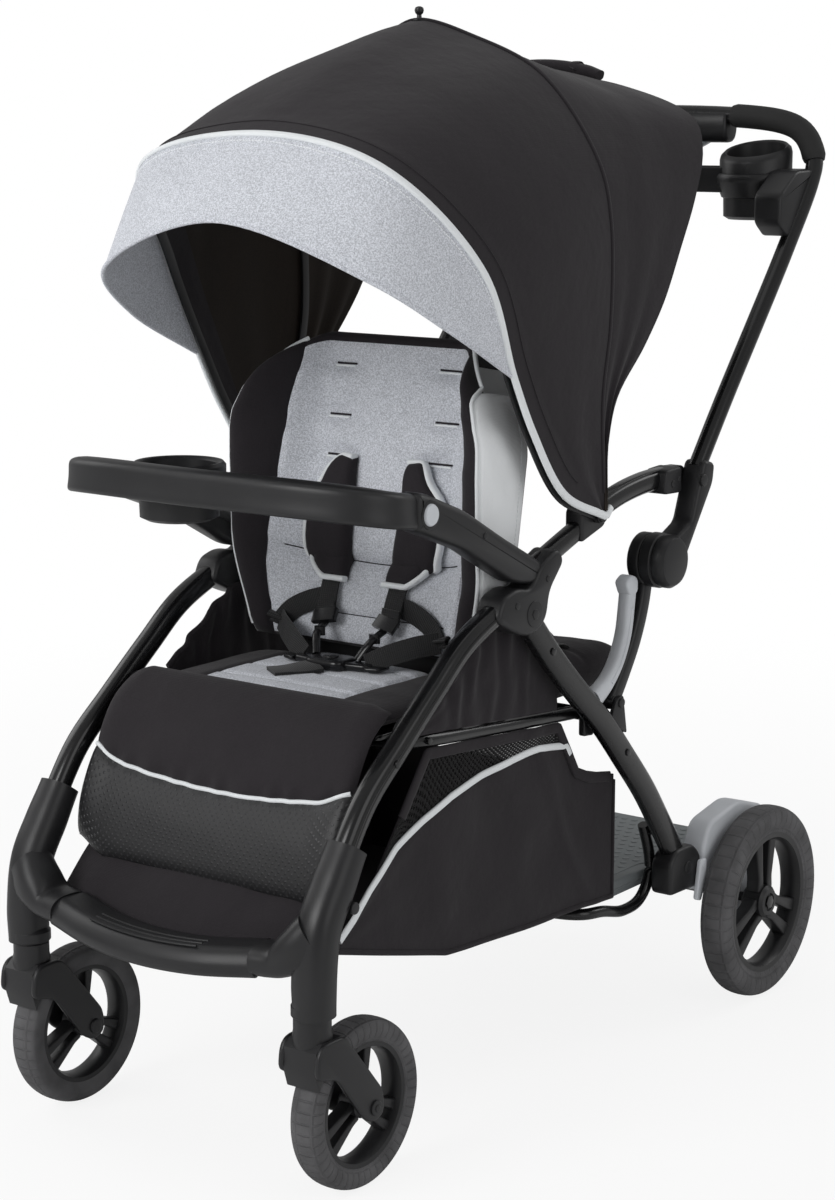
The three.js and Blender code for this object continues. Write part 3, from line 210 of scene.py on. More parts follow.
def webbing_material(name, color):
    """Ribbed webbing: the ribs run across the band, along its u."""
    m = Nodes(name)
    where = m.coordinates("UV")
    ribs, cords = m.wave(where, 130.0, 0.0, "Y"), m.wave(where, 110.0, 0.4, "X")
    height = m.math("ADD", ribs, m.math("MULTIPLY", cords, 0.4))
    # The tone follows the rib height: painted shade in the grooves between ribs and a painted highlight on
    # the rib tops.
    tone = m.ramp(height, [(0.1, shade(color, 0.5)), (0.9, shade(color, 1.7))])
    return m.finish(tone, None, m.bump(height, 0.6, 0.0007), Roughness=0.72, Sheen_Weight=0.15,
                    Specular_IOR_Level=0.35)


def dotted_vinyl(name, color):
    """Soft vinyl with rows of raised diamonds, on the calf pad."""
    m = Nodes(name)
    dots = m.cells(m.coordinates("UV"), (165.0, 165.0, 1.0), DIAGONAL, feature="F1", distance="MANHATTAN")
    dome = m.ramp(dots, [(0.12, 1.0), (0.32, 0.0)])
    # The tone is lighter on the raised diamonds: a painted highlight on their tops, following the domes.
    tone = m.ramp(dots, [(0.12, shade(color, 2.6)), (0.3, color)])
    rough = m.ramp(dots, [(0.15, 0.3), (0.45, 0.5)])
    return m.finish(tone, rough, m.bump(dome, 0.6, 0.0009), Specular_IOR_Level=0.45)


def netting(name, color):
    """Open mesh cloth: rows of small round holes."""
    m = Nodes(name)
    holes = m.cells(m.coordinates("UV"), (190.0, 150.0, 1.0), DIAGONAL, feature="F1")
    edge = m.ramp(holes, [(0.3, 0.0), (0.38, 1.0)])
    # The holes are a near-black, partly opaque film: painted shade for the dark inside seen through them; the
    # threads keep the net's own colour.
    tone = m.ramp(holes, [(0.3, shade(color, 0.25)), (0.4, shade(color, 2.4))])
    m.material.surface_render_method = "DITHERED"
    opacity = m.math("ADD", m.math("MULTIPLY", edge, 0.45), 0.55)
    m.link(opacity, m.shader.inputs["Alpha"])
    return m.finish(tone, None, m.bump(edge, 0.5, 0.0006), Roughness=0.7, Specular_IOR_Level=0.15)


def tyre_material(name, color):
    """Foamed tyre: hexagonal tread marks from the uv, u round the wheel and v over the tread."""
    m = Nodes(name)
    where = m.coordinates("UV")
    treads = m.cells(where, (48.0, 5.0, 1.0), feature="DISTANCE_TO_EDGE")
    split = m.add("ShaderNodeSeparateXYZ")
    m.link(where, split.inputs["Vector"])
    side = m.ramp(split.outputs["Y"], [(0.2, 0.0), (0.3, 1.0), (0.7, 1.0), (0.8, 0.0)])
    groove = m.ramp(treads, [(0.02, 0.0), (0.12, 1.0)])
    height = m.math("MULTIPLY", groove, side)
    fine = m.noise(m.coordinates(), 700.0, 2.0)
    tone = m.ramp(m.noise(m.coordinates(), 30.0, 4.0), [(0.3, shade(color, 0.8)), (0.7, shade(color, 1.35))])
    return m.finish(tone, None, m.bump(height, 0.7, 0.0022, m.bump(fine, 0.15, 0.0008)), Roughness=0.82,
                    Specular_IOR_Level=0.3)


BLACK_CLOTH = (0.0135, 0.0115, 0.0135)
LINING = (0.011, 0.008, 0.006)
MELANGE = (0.5, 0.52, 0.57)
black_plastic = plastic("black_plastic", (0.0125, 0.0125, 0.0135), 0.4, 0.12)
gloss_plastic = plastic("gloss_plastic", (0.009, 0.009, 0.01), 0.22, 0.03)
grey_plastic = plastic("grey_plastic", (0.55, 0.57, 0.6), 0.42, 0.08)
pale_plastic = plastic("pale_plastic", (0.33, 0.36, 0.39), 0.4, 0.05)
deck_plastic = plastic("deck_plastic", (0.16, 0.175, 0.18), 0.5, 0.15)
black_tube = painted("black_tube", (0.0045, 0.0045, 0.005), 0.24)
foam = plastic("foam_grip", (0.014, 0.014, 0.014), 0.75, 0.5)
black_fabric = woven("black_fabric", BLACK_CLOTH, shade(BLACK_CLOTH, 1.7), 0.12, cloudy=0.2, sheen=0.08,
                     creases=0.4)
lining = woven("canopy_lining", LINING, shade(LINING, 2.6), 0.12, cloudy=0.3, sheen=0.05)
grey_fabric = woven("grey_fabric", shade(MELANGE, 0.74), (0.72, 0.74, 0.79), 0.05, cloudy=0.12, sheen=0.15)
side_fabric = woven("light_side_fabric", (0.82, 0.84, 0.86), (0.88, 0.9, 0.91), 0.2, sheen=0.1)
piping = woven("piping", (0.7, 0.73, 0.75), (0.82, 0.84, 0.85), 0.2, sheen=0.1)
webbing = webbing_material("webbing", (0.006, 0.006, 0.0065))
vinyl = dotted_vinyl("dotted_vinyl", (0.0125, 0.0125, 0.0135))
net = netting("netting", (0.0045, 0.0043, 0.0045))
rubber = tyre_material("tyre_rubber", (0.082, 0.081, 0.084))

# Curves and sections


def catmull(points, steps):
    """Even points along a centripetal Catmull-Rom curve."""
    points = [Vector(p) for p in points]
    ends = [2 * points[0] - points[1], *points, 2 * points[-1] - points[-2]]
    fine = []
    pieces = 16
    for i in range(1, len(ends) - 2):
        p0, p1, p2, p3 = ends[i - 1:i + 3]
        knots = [0.0]
        for a, b in ((p0, p1), (p1, p2), (p2, p3)):
            knots.append(knots[-1] + max((b - a).length, 1e-6) ** 0.5)
        t0, t1, t2, t3 = knots
        for k in range(pieces):
            t = t1 + (t2 - t1) * k / pieces
            a1 = p0.lerp(p1, (t - t0) / (t1 - t0))
            a2 = p1.lerp(p2, (t - t1) / (t2 - t1))
            a3 = p2.lerp(p3, (t - t2) / (t3 - t2))
            b1 = a1.lerp(a2, (t - t0) / (t2 - t0))
            b2 = a2.lerp(a3, (t - t1) / (t3 - t1))
            fine.append(b1.lerp(b2, (t - t1) / (t2 - t1)))
    fine.append(points[-1].copy())
    return even(fine, steps)


def even(points, steps):
    """Points at equal distances along a polyline."""
    reach = [0.0]
    for a, b in zip(points, points[1:]):
        reach.append(reach[-1] + (b - a).length)
    out, j = [], 0
    for i in range(steps + 1):
        want = reach[-1] * i / steps
        while j < len(points) - 2 and reach[j + 1] < want:
            j += 1
        span = reach[j + 1] - reach[j]
        out.append(points[j].lerp(points[j + 1], (want - reach[j]) / span if span else 0.0))
    return out


def oval(width, depth, sides=20, power=1.0):
    """An ellipse, which a power below 1 makes squarer."""
    points = []
    for i in range(sides):
        t = 2 * math.pi * i / sides
        c, s = math.cos(t), math.sin(t)
        points.append((math.copysign(abs(c) ** power, c) * width / 2,
                       math.copysign(abs(s) ** power, s) * depth / 2))
    return points


def rounded(points, radius, bends=5):
    """A closed outline with its corners turned into small curves."""
    soft = []
    for i, corner in enumerate(points):
        here = Vector(corner)
        before, after = Vector(points[i - 1]), Vector(points[(i + 1) % len(points)])
        start = here + (before - here).normalized() * min(radius, (before - here).length / 2.2)
        end = here + (after - here).normalized() * min(radius, (after - here).length / 2.2)
        for k in range(bends + 1):
            t = k / bends
            soft.append(tuple((1 - t) ** 2 * start + 2 * t * (1 - t) * here + t * t * end))
    return soft


def box(x0, x1, y0, y1):
    return [(x0, y0), (x1, y0), (x1, y1), (x0, y1)]


def placed(origin, size, shares):
    """Places given as shares of a size, from an origin; size is one number, or a width and a height."""
    wide, high = size if isinstance(size, tuple) else (size, size)
    return [(origin[0] + s * wide, origin[1] + t * high) for s, t in shares]


def between(start, end, shares):
    return placed(start, (end[0] - start[0], end[1] - start[1]), shares)


def both_sides(right, shared=False):
    """A path from right to left; shared says that its last place is the middle one."""
    return right + [(-x, y, z) for x, y, z in reversed(right[:-1] if shared else right)]


def ease(t):
    c = min(max(t, 0.0), 1.0)
    return c * c * (3 - 2 * c)


def lerp(a, b, t):
    return a + (b - a) * t


def graph(table, x):
    """Straight lines through a table of places."""
    for (a, za), (b, zb) in zip(table, table[1:]):
        if x <= b:
            return lerp(za, zb, (x - a) / (b - a))
    return table[-1][1]


def bump(x, middle, width):
    return math.exp(-((x - middle) / width) ** 2)


def ripple(x, y, z=0.0):
    return noise.noise(Vector((x, y, z)))


# Meshes: a Shape gathers closed parts, in millimetres, and becomes one object

BENDS = 3

class Shape:
    def __init__(self):
        self.places, self.faces, self.uvs, self.slots = [], [], [], []

    def cap(self, rows, flip=False):
        """Closes both ends of a wrapped grid with flat faces."""
        for row, turned in ((rows[0], not flip), (rows[-1], flip)):
            base = len(self.places)
            self.places += [Vector(p) for p in row]
            face = list(range(base, base + len(row)))
            self.faces.append(face[::-1] if turned else face)
            self.uvs.append([(0.0, 0.0)] * len(row))
            self.slots.append(0)
        return self

    def grid(self, rows, slot=0, wrap=False, flip=False, uvs=None):
        """Rows of places joined by quads; slot may be a function of row and column."""
        base = len(self.places)
        width = len(rows[0])
        self.places += [Vector(p) for row in rows for p in row]
        last = width if wrap else width - 1
        for j in range(len(rows) - 1):
            for i in range(last):
                k = (i + 1) % width
                corners = [(j, i), (j, k), (j + 1, k), (j + 1, i)]
                texture = [(j, i), (j, i + 1), (j + 1, i + 1), (j + 1, i)]
                if flip:
                    corners.reverse()
                    texture.reverse()
                self.faces.append([base + r * width + c for r, c in corners])
                self.uvs.append([uvs(r, c) if uvs else (c / width, r / len(rows)) for r, c in texture])
                self.slots.append(slot(j, i) if callable(slot) else slot)
        return self

    def sweep(self, points, section, side=(1, 0, 0), scale=None):
        """A section carried along points, its first axis near side; scale is a function of the way along."""
        side = Vector(side)
        rows, reach = [], []
        count = len(points)
        travelled = 0.0
        for i, p in enumerate(points):
            a, b = points[max(i - 1, 0)], points[min(i + 1, count - 1)]
            tangent = (b - a).normalized()
            normal = (side - tangent * side.dot(tangent)).normalized()
            across = tangent.cross(normal)
            k = scale(i / (count - 1)) if scale else 1.0
            kx, ky = k if hasattr(k, "__len__") else (k, k)
            rows.append([p + normal * (u * kx) + across * (v * ky) for u, v in section])
            travelled += (p - points[i - 1]).length if i else 0.0
            reach.append(travelled * MM)
        girth = [0.0]
        for (a0, b0), (a1, b1) in zip(section, section[1:] + section[:1]):
            girth.append(girth[-1] + math.hypot(a1 - a0, b1 - b0) * MM)
        return self.grid(rows, wrap=True, uvs=lambda r, c: (girth[c], reach[r])).cap(rows)

    def tube(self, places, width, depth=None, steps=64, side=(1, 0, 0), sides=20, power=1.0):
        return self.sweep(catmull(places, steps), oval(width, depth or width, sides, power), side)

    def plate(self, outline, x0, x1, bevel=2.0, axis="x"):
        """An outline pushed along an axis, its rims rounded by stepped insets."""
        n = len(outline)
        area = sum(outline[i - 1][0] * outline[i][1] - outline[i][0] * outline[i - 1][1] for i in range(n))
        if area < 0:
            outline = outline[::-1]
        bevel = min(bevel, abs(x1 - x0) / 2.01)

        def inset(amount):
            moved = []
            for i in range(n):
                before, here, after = Vector(outline[i - 1]), Vector(outline[i]), Vector(outline[(i + 1) % n])
                d1, d2 = (here - before), (after - here)
                if d1.length < 1e-6:
                    d1 = d2
                if d2.length < 1e-6:
                    d2 = d1
                n1 = Vector((-d1.y, d1.x)).normalized()
                n2 = Vector((-d2.y, d2.x)).normalized()
                miter = n1 + n2
                miter = miter / max(miter.length_squared / 2, 0.7) if miter.length > 1e-6 else n1
                moved.append(here + miter * amount)
            return moved

        levels = []
        for k in range(BENDS + 1):
            t = math.pi / 2 * k / BENDS
            levels.append((bevel * (1 - math.sin(t)), x0 + bevel * (1 - math.cos(t))))
        levels += [(amount, x1 - (x - x0)) for amount, x in reversed(levels)]
        put = {"x": lambda a, b, x: (x, a, b), "y": lambda a, b, x: (a, x, b), "z": lambda a, b, x: (a, b, x)}
        rows = [[put[axis](p.x, p.y, x) for p in inset(amount)] for amount, x in levels]
        flip = axis == "y"
        flat = [(u * MM, v * MM) for u, v in outline]
        return self.grid(rows, wrap=True, flip=flip, uvs=lambda r, c: flat[c % n]).cap(rows, flip)

    def lathe(self, profile, center, axis="x", sides=48, closed=True):
        """A profile of radius and way along, turned about an axis; closed makes a loop of it."""
        rows = []
        outline = profile + profile[:1] if closed else profile
        for i in range(sides + 1):
            t = 2 * math.pi * i / sides
            row = []
            for r, x in outline:
                a, b = r * math.cos(t), r * math.sin(t)
                row.append(Vector(center) + Vector({"x": (x, a, b), "y": (b, x, a), "z": (a, b, x)}[axis]))
            rows.append(row)
        girth = [0.0]
        for (r0, x0), (r1, x1) in zip(outline, outline[1:]):
            girth.append(girth[-1] + math.hypot(r1 - r0, x1 - x0))
        return self.grid(rows, uvs=lambda r, c: (r / sides, girth[c] / girth[-1]))

    def rod(self, place, radius, x0, x1, bevel=0.8, sides=24, axis="x"):
        turns = [2 * math.pi * i / sides for i in range(sides)]
        ring = placed(place, radius, [(math.cos(t), math.sin(t)) for t in turns])
        return self.plate(ring, x0, x1, bevel, axis)

    def join(self, *others):
        for other in others:
            base = len(self.places)
            self.places += other.places
            self.faces += [[base + i for i in face] for face in other.faces]
            self.uvs += other.uvs
            self.slots += other.slots
        return self

    def mirrored(self):
        other = Shape()
        other.places = [Vector((-p.x, p.y, p.z)) for p in self.places]
        other.faces = [face[::-1] for face in self.faces]
        other.uvs = [uv[::-1] for uv in self.uvs]
        other.slots = list(self.slots)
        return other

    def both(self):
        """Joins this shape and its mirror."""
        return self.join(self.mirrored())


def piece(name, shape, materials, body, replaced=(), sharp=35):
    """One object. With body None, it is attached to no body."""
    mesh = bpy.data.meshes.new(name)
    mesh.from_pydata([p * MM for p in shape.places], [], shape.faces)
    layer = mesh.uv_layers.new(name="UVMap")
    for item, uv in zip(layer.data, [uv for face in shape.uvs for uv in face]):
        item.uv = uv
    for material in materials if isinstance(materials, list) else [materials]:
        mesh.materials.append(material)
    mesh.polygons.foreach_set("material_index", shape.slots)
    work = bmesh.new()
    work.from_mesh(mesh)
    bmesh.ops.remove_doubles(work, verts=work.verts, dist=1e-5)
    work.to_mesh(mesh)
    work.free()
    mesh.shade_smooth()
    mesh.set_sharp_from_angle(angle=math.radians(sharp))
    made = bpy.data.objects.new(name, mesh)
    bpy.context.collection.objects.link(made)
    if body:
        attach(made, body)
    if replaced:
        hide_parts(*([replaced] if isinstance(replaced, str) else replaced))
    return made


def pair(name, shape, materials, body, replaced="", sharp=35):
    """Right and left pieces; body and replaced may name a side with {}."""
    made = []
    for side, form in (("right", shape), ("left", shape.mirrored())):
        made.append(piece(f"{name}_{side}", form, materials, body.format(side),
                          [n.format(side) for n in replaced.split()] if replaced else (), sharp))
    return made


# Wheels

FRONT_WHEEL = {"radius": 92, "width": 35, "rim": 66, "hub": 15, "x": 202, "y": -412}
REAR_WHEEL = {"radius": 123, "width": 38, "rim": 88, "hub": 21, "x": 247, "y": 368}
SPOKES = 3
RIM_SHARES = [(-1, -0.45), (-1.1, 0), (-1, 0.45), (-0.5, 0.78), (0.3, 0.82), (0.35, 0.72), (0, 0.66),
              (0, -0.66), (0.35, -0.72), (0.3, -0.82), (-0.5, -0.78)]
HUB_SHARES = [(0.3, -0.82), (0.82, -0.8), (1, -0.6), (1, 0.6), (0.82, 0.8), (0.55, 0.83), (0.5, 0.7),
              (0.3, 0.7)]


def wheel_center(w):
    return (w["x"], w["y"], w["radius"])


def tyre(w):
    half, tread = w["width"] / 2, w["radius"] - w["rim"]
    inner = w["rim"] + 0.4
    profile = []
    for i in range(15):
        t = math.pi * (i / 14 - 0.5)
        swell = math.copysign(abs(math.sin(t)) ** 0.8, math.sin(t))
        profile.append((w["radius"] - tread * 0.5 * (1 - math.cos(t) ** 0.55), half * swell))
    profile = [(inner, -half * 0.78)] + profile + [(inner, half * 0.78)]
    return Shape().lathe(profile, wheel_center(w), sides=96)


def rim(w):
    half, hub = w["width"] / 2, w["hub"]
    band = (w["radius"] - w["rim"]) * 0.24
    r = w["rim"]
    shape = Shape().lathe(placed((r, 0), (band, half), RIM_SHARES), wheel_center(w), sides=96)
    shape.lathe(placed((0, 0), (hub, half), HUB_SHARES), wheel_center(w))
    for i in range(SPOKES):
        turn = math.pi / 2 + 2 * math.pi * i / SPOKES
        for side in (-1, 1):
            inner_r, outer_r = hub * 0.7, r - band * 0.6
            blade = [(inner_r, side * hub * 0.2), (outer_r, side * hub * 0.42), (outer_r, side * hub * 1.25),
                     (hub * 1.5, side * hub * 0.78), (inner_r, side * hub * 0.85)]
            spun = [(w["y"] + a * math.cos(turn) - b * math.sin(turn),
                     w["radius"] + a * math.sin(turn) + b * math.cos(turn)) for a, b in blade]
            shape.plate(rounded(spun, 3, 2), w["x"] - half * 0.5, w["x"] + half * 0.5, 2.2)
    return shape


for end, wheel in (("front", FRONT_WHEEL), ("rear", REAR_WHEEL)):
    pair(f"{end}_wheel_tyre", tyre(wheel), rubber, end + "_wheel_{}", end + "_tyre_{}", 50)
    pair(f"{end}_wheel_rim", rim(wheel), black_plastic, end + "_wheel_{}", end + "_rim_{}")

# Caster forks

CASTER = {"trail": 70, "stem": 20, "bottom": 208, "crown": 166, "legs": 7, "play": 3, "side": 17,
          "bolt": 8.5, "hex": 4.2}
STEM_Y = FRONT_WHEEL["y"] - CASTER["trail"]
AXLE = (FRONT_WHEEL["y"], FRONT_WHEEL["radius"])


def caster_fork():
    x, s = FRONT_WHEEL["x"], CASTER["side"]
    stem, crown = CASTER["stem"], CASTER["crown"]
    inner = FRONT_WHEEL["width"] / 2 + CASTER["play"]
    outer = inner + CASTER["legs"]
    top = crown + stem
    outline = rounded(placed((STEM_Y, crown), stem, [(-1.25, -0.8), (-1.1, 0.5), (-0.6, 1), (1.05, 1)])
                      + placed(AXLE, s, [(0.9, 0.9), (0.95, -0.6), (0, -1), (-1, -0.5)])
                      + placed((STEM_Y, crown), stem, [(0.4, -1.2)]), s * 0.6)
    shape = Shape()
    for near, far in ((-outer, -inner), (inner, outer)):
        shape.plate(outline, x + near, x + far, 3.0)
    clear = FRONT_WHEEL["radius"] + CASTER["play"]
    turns = [math.radians(lerp(123, 154, i / 8)) for i in range(9)]
    arc = placed(AXLE, clear, [(math.cos(t), math.sin(t)) for t in turns])
    block = placed((STEM_Y, crown), stem, [(-1.1, -0.6), (-1.02, 0.55), (-0.55, 0.95), (1.02, 0.95)])
    shape.plate(arc + block, x - inner - 1, x + inner + 1, 0.5)
    neck = [(0.01, crown), (stem * 0.96, crown), (stem * 1.06, top + 2), (stem, top + 8),
            (stem, CASTER["bottom"] - 1.2), (0.01, CASTER["bottom"] - 1.2)]
    shape.lathe(neck, (x, STEM_Y, 0), "z", 40, closed=False)
    shape.rod(AXLE, CASTER["bolt"], x + outer - 1, x + outer + 2.6, 1.2)
    shape.rod(AXLE, CASTER["hex"], x + outer + 2, x + outer + 3.8, 0.8, 6)
    shape.rod(AXLE, CASTER["bolt"], x - outer - 2.6, x - outer + 1, 1.2)
    return shape


pair("fork", caster_fork(), black_plastic, "caster_{}", "caster_fork_{}")

# Front legs, housings and footrest

LEG = {"x": 205, "width": 24, "depth": 26}
LEG_FOOT, LEG_TOP = (-447, 348), (-146, 585)
LEG_SHARES = [(0, 0), (0.16, 0.28), (0.35, 0.48), (0.56, 0.69), (0.74, 0.86), (1, 1)]
LEG_RIVETS = (0.36, 0.93)
RIVET = 4.6
leg_places = [(LEG["x"], y, z) for y, z in between(LEG_FOOT, LEG_TOP, LEG_SHARES)]


def front_leg():
    shape = Shape().tube(leg_places, LEG["width"], LEG["depth"], 72, power=0.72)
    outer = LEG["x"] + LEG["width"] / 2
    shape.tube([(outer + 0.2, y, z) for x, y, z in leg_places], 1.6, 5.5, 72, sides=8)
    for share in LEG_RIVETS:
        shape.rod(leg_at(share), RIVET, outer, outer + 2.4, 1.0, 16)
    return shape


def leg_at(share):
    curve = catmull(leg_places, 40)
    p = curve[round(share * 40)]
    return p.y, p.z


pair("leg_tube", front_leg(), black_tube, "frame", "front_leg_{}")

FOOT_BAR = {"half": 138, "bow": 22.1, "depth": 56, "height": 30, "y": -484, "z": 258}
FOOT_SHARES = [(-0.5, -0.42), (-0.5, 0.3), (0.1, 0.5), (0.6, 0.4), (0.25, -0.4), (-0.1, -0.5)]
HOUSING_WIDTH, HOUSING_NECK = 44, 33


def front_housing():
    radius = CASTER["stem"] + 1
    x = LEG["x"]
    low = CASTER["bottom"]
    neck = [(x, STEM_Y, low), (x, STEM_Y, low + radius * 2), (x, STEM_Y + radius * 0.4, low + radius * 4.4),
            (x, LEG_FOOT[0] - LEG["depth"] * 0.1, LEG_FOOT[1] - LEG["depth"] * 0.3),
            (x, LEG_FOOT[0] + LEG["depth"] * 0.75, LEG_FOOT[1] + LEG["depth"])]
    shape = Shape()

    def girth(t):
        swell = 1 - 0.06 * ease((t - 0.75) / 0.25)
        return (swell * (0.93 + 0.07 * ease(t / 0.2)), swell)

    shape.sweep(catmull(neck, 60), oval(HOUSING_WIDTH, 2 * radius + 2, 28, 0.8), scale=girth)
    collar = [(0.01, low), (radius * 0.98, low), (radius * 1.06, low + 2), (radius * 1.06, low + 12),
              (radius * 0.9, low + 16), (0.01, low + 16)]
    shape.lathe(collar, (x - 3, STEM_Y, 0), "z", 40, closed=False)
    bar = FOOT_BAR
    branch = [(x, STEM_Y + radius * 0.3, bar["z"] + HOUSING_NECK),
              (x - HOUSING_WIDTH * 0.42, bar["y"] + 2, bar["z"] + HOUSING_NECK * 0.55),
              (x - HOUSING_WIDTH * 0.85, bar["y"] + 2, bar["z"] + HOUSING_NECK * 0.12),
              (bar["half"] + 0.6, bar["y"], bar["z"])]

    def flare(t):
        return (lerp(1.75, 1.0, ease(t / 0.75)), lerp(0.86, 1.0, ease(t / 0.6)))

    shape.sweep(catmull(branch, 40), oval(bar["height"] + 4, bar["depth"], 28, 0.8), (0, 0, 1), scale=flare)
    screw = (LEG_FOOT[0] + LEG["depth"] * 0.2, LEG_FOOT[1] - LEG["depth"] * 1.2)
    shape.rod(screw, 6.5, x + HOUSING_WIDTH / 2 - 3, x + HOUSING_WIDTH / 2 + 0.8, 0.8)
    return shape


pair("leg_housing", front_housing(), black_plastic, "frame", "front_housing_{}")


def footrest():
    half, bow, depth, height = FOOT_BAR["half"], FOOT_BAR["bow"], FOOT_BAR["depth"], FOOT_BAR["height"]
    y, z = FOOT_BAR["y"], FOOT_BAR["z"]
    end_to_middle = [(-half, y, z), (-half / 2, y - bow * 0.75, z - bow * 0.3), (0, y - bow, z - bow * 0.4)]
    curve = catmull(both_sides(end_to_middle, True), 48)
    section = rounded(placed((0, 0), (-height, depth), FOOT_SHARES), height * 0.3, 4)
    shape = Shape().sweep(curve, section, (0, 0, 1))
    for k in range(4):
        back = -depth * 0.3 + depth * 0.17 * k
        top = height * 0.505 - 0.12 * abs(back) * (1 if back > 0 else 0.3)
        shape.sweep([p + Vector((0, back, top)) for p in curve[11:38]], oval(2.4, 2.6, 8), (0, 0, 1))
    return shape


piece("footrest", footrest(), black_plastic, "frame", "footrest_bar")

# Knuckles, arc tubes with the handle pivots and canopy clips, and rear legs

KNUCKLE = {"width": 34, "head": 16.5, "size": 86}
FOLD_PIN = (-112, 570)
ARC = {"x": 202, "width": 18, "depth": 24}
ARC_START, ARC_END = (-92, 615), (203, 686)
ARC_SHARES = [(0, 0), (0.18, 0.27), (0.36, 0.53), (0.56, 0.82), (0.78, 0.97), (1, 1)]
REAR_LEG = {"x": 205, "width": 22, "depth": 31}
REAR_LEG_FOOT = (236, 196)
REAR_LEG_SHARES = [(0, 0), (0.17, 0.168), (0.328, 0.302), (0.471, 0.417), (0.62, 0.561), (0.753, 0.695),
                   (0.868, 0.834), (1, 1)]
REAR_LEG_RIVETS = ((-66, 519), (96, 369))
KNUCKLE_SHARES = [(-0.5, 0.02), (-0.42, 0.3), (-0.23, 0.39), (-0.04, 0.33), (0.1, 0.62), (0.34, 0.8),
                  (0.42, 0.6), (0.22, 0.25), (0.18, -0.08), (0.08, -0.24), (-0.09, -0.28), (-0.26, -0.18)]
HANDLE_PIVOT, EAR = (222, 682), 14
CHEEK = {"inner": 190, "outer": 206.6, "cap": 220}
SLEEVE = {"inner": 207.2, "outer": 237, "width": 15}
CANOPY = {"half": 222, "rise": 556, "y": 24, "z": 662, "cloth": 2.4, "bow": 12, "strip": 3.6}
arc_places = [(ARC["x"], y, z) for y, z in between(ARC_START, ARC_END, ARC_SHARES)]
rear_leg_places = [(REAR_LEG["x"], y, z) for y, z in
                   between(FOLD_PIN, REAR_LEG_FOOT, REAR_LEG_SHARES)]


def knuckle():
    size, outer = KNUCKLE["size"], LEG["x"] + KNUCKLE["width"] / 2
    outline = rounded(placed(FOLD_PIN, (size * 1.65, size), KNUCKLE_SHARES), size * 0.12)
    shape = Shape().plate(outline, outer - KNUCKLE["width"], outer, 5)
    shape.rod(FOLD_PIN, 15, outer - 2, outer + 1.0, 1.0, 32)
    shape.rod(FOLD_PIN, 6.5, outer, outer + 2.0, 0.8, 6)
    for rivet in placed(FOLD_PIN, 1, [(26, 36), (-34, 14)]):
        shape.rod(rivet, 4.2, outer - 2, outer + 1.0, 0.8, 20)
    return shape


pair("fold_knuckle", knuckle(), black_plastic, "frame", "knuckle_{}")


def arc_tube():
    shape = Shape().tube(arc_places, ARC["width"], ARC["depth"], 64, power=0.75)
    cover = [(x, y, z + ARC["depth"] * 0.46) for x, y, z in arc_places[2:]]
    shape.tube(cover, ARC["width"] * 0.8, 5, 40, power=0.6)
    return shape


def pivot_block():
    inner, outer, cap = CHEEK["inner"], CHEEK["outer"], CHEEK["cap"]
    back = placed(HANDLE_PIVOT, EAR, [(-4.2, -0.9), (-4, 1.15), (-1.5, 1.3), (-1.4, -1)])
    ear = placed(HANDLE_PIVOT, EAR, [(-2.2, -1), (-2.2, 1.2), (0.4, 1.1), (1.1, 0), (0.4, -1)])
    shape = Shape().plate(rounded(back, EAR * 0.5), inner, cap, 3)
    shape.plate(rounded(ear, EAR * 0.5), inner, outer, 2)
    shape.rod(HANDLE_PIVOT, 7.5, SLEEVE["outer"] - 1, SLEEVE["outer"] + 2.6, 1.2)
    screw, rivet = placed(HANDLE_PIVOT, EAR, [(-2.9, -0.1), (-1.9, 0.2)])
    shape.rod(screw, 4.4, cap - 2, cap + 1.2, 0.8, 20)
    return shape.rod(rivet, 3.4, cap - 2, cap + 0.6, 0.8, 20)


def canopy_clip():
    reach, pivot = 30, (CANOPY["y"], CANOPY["z"])
    outline = placed(pivot, reach, [(-1, -0.95), (-1, 0.35), (0.7, 0.7), (0.7, -0.45)])
    shape = Shape().plate(rounded(outline, reach * 0.25), ARC["x"] - ARC["width"] / 2 - 3, 213.2, 3)
    return shape.rod(pivot, 7, 213, 224.5, 1.5)


pair("arc_rail", arc_tube(), black_tube, "frame", "arc_tube_{}")
pair("handle_pivot_block", pivot_block(), black_plastic, "frame")
pair("canopy_mount_clip", canopy_clip(), black_plastic, "frame")


def rear_leg():
    half = REAR_LEG["width"] / 2
    inner, outer = REAR_LEG["x"] - half, REAR_LEG["x"] + half
    shape = Shape().tube(rear_leg_places, REAR_LEG["width"], REAR_LEG["depth"], 80, power=0.72)
    shape.rod(FOLD_PIN, KNUCKLE["head"], inner, outer, 1.5, 32)
    for rivet in REAR_LEG_RIVETS:
        shape.rod(rivet, RIVET, outer - 1, outer + 2, 1, 16)
    return shape


BRACKET = {"size": 62, "inner": 190, "outer": 220}
BRACKET_SHARES = [(-0.55, 0.42), (-0.3, 0.8), (0.32, 0.8), (0.62, 0.35), (0.6, -0.75), (-0.55, -0.7)]
LUG, LUG_SIZE, LUG_OUTER = (84, 431), 9, 213


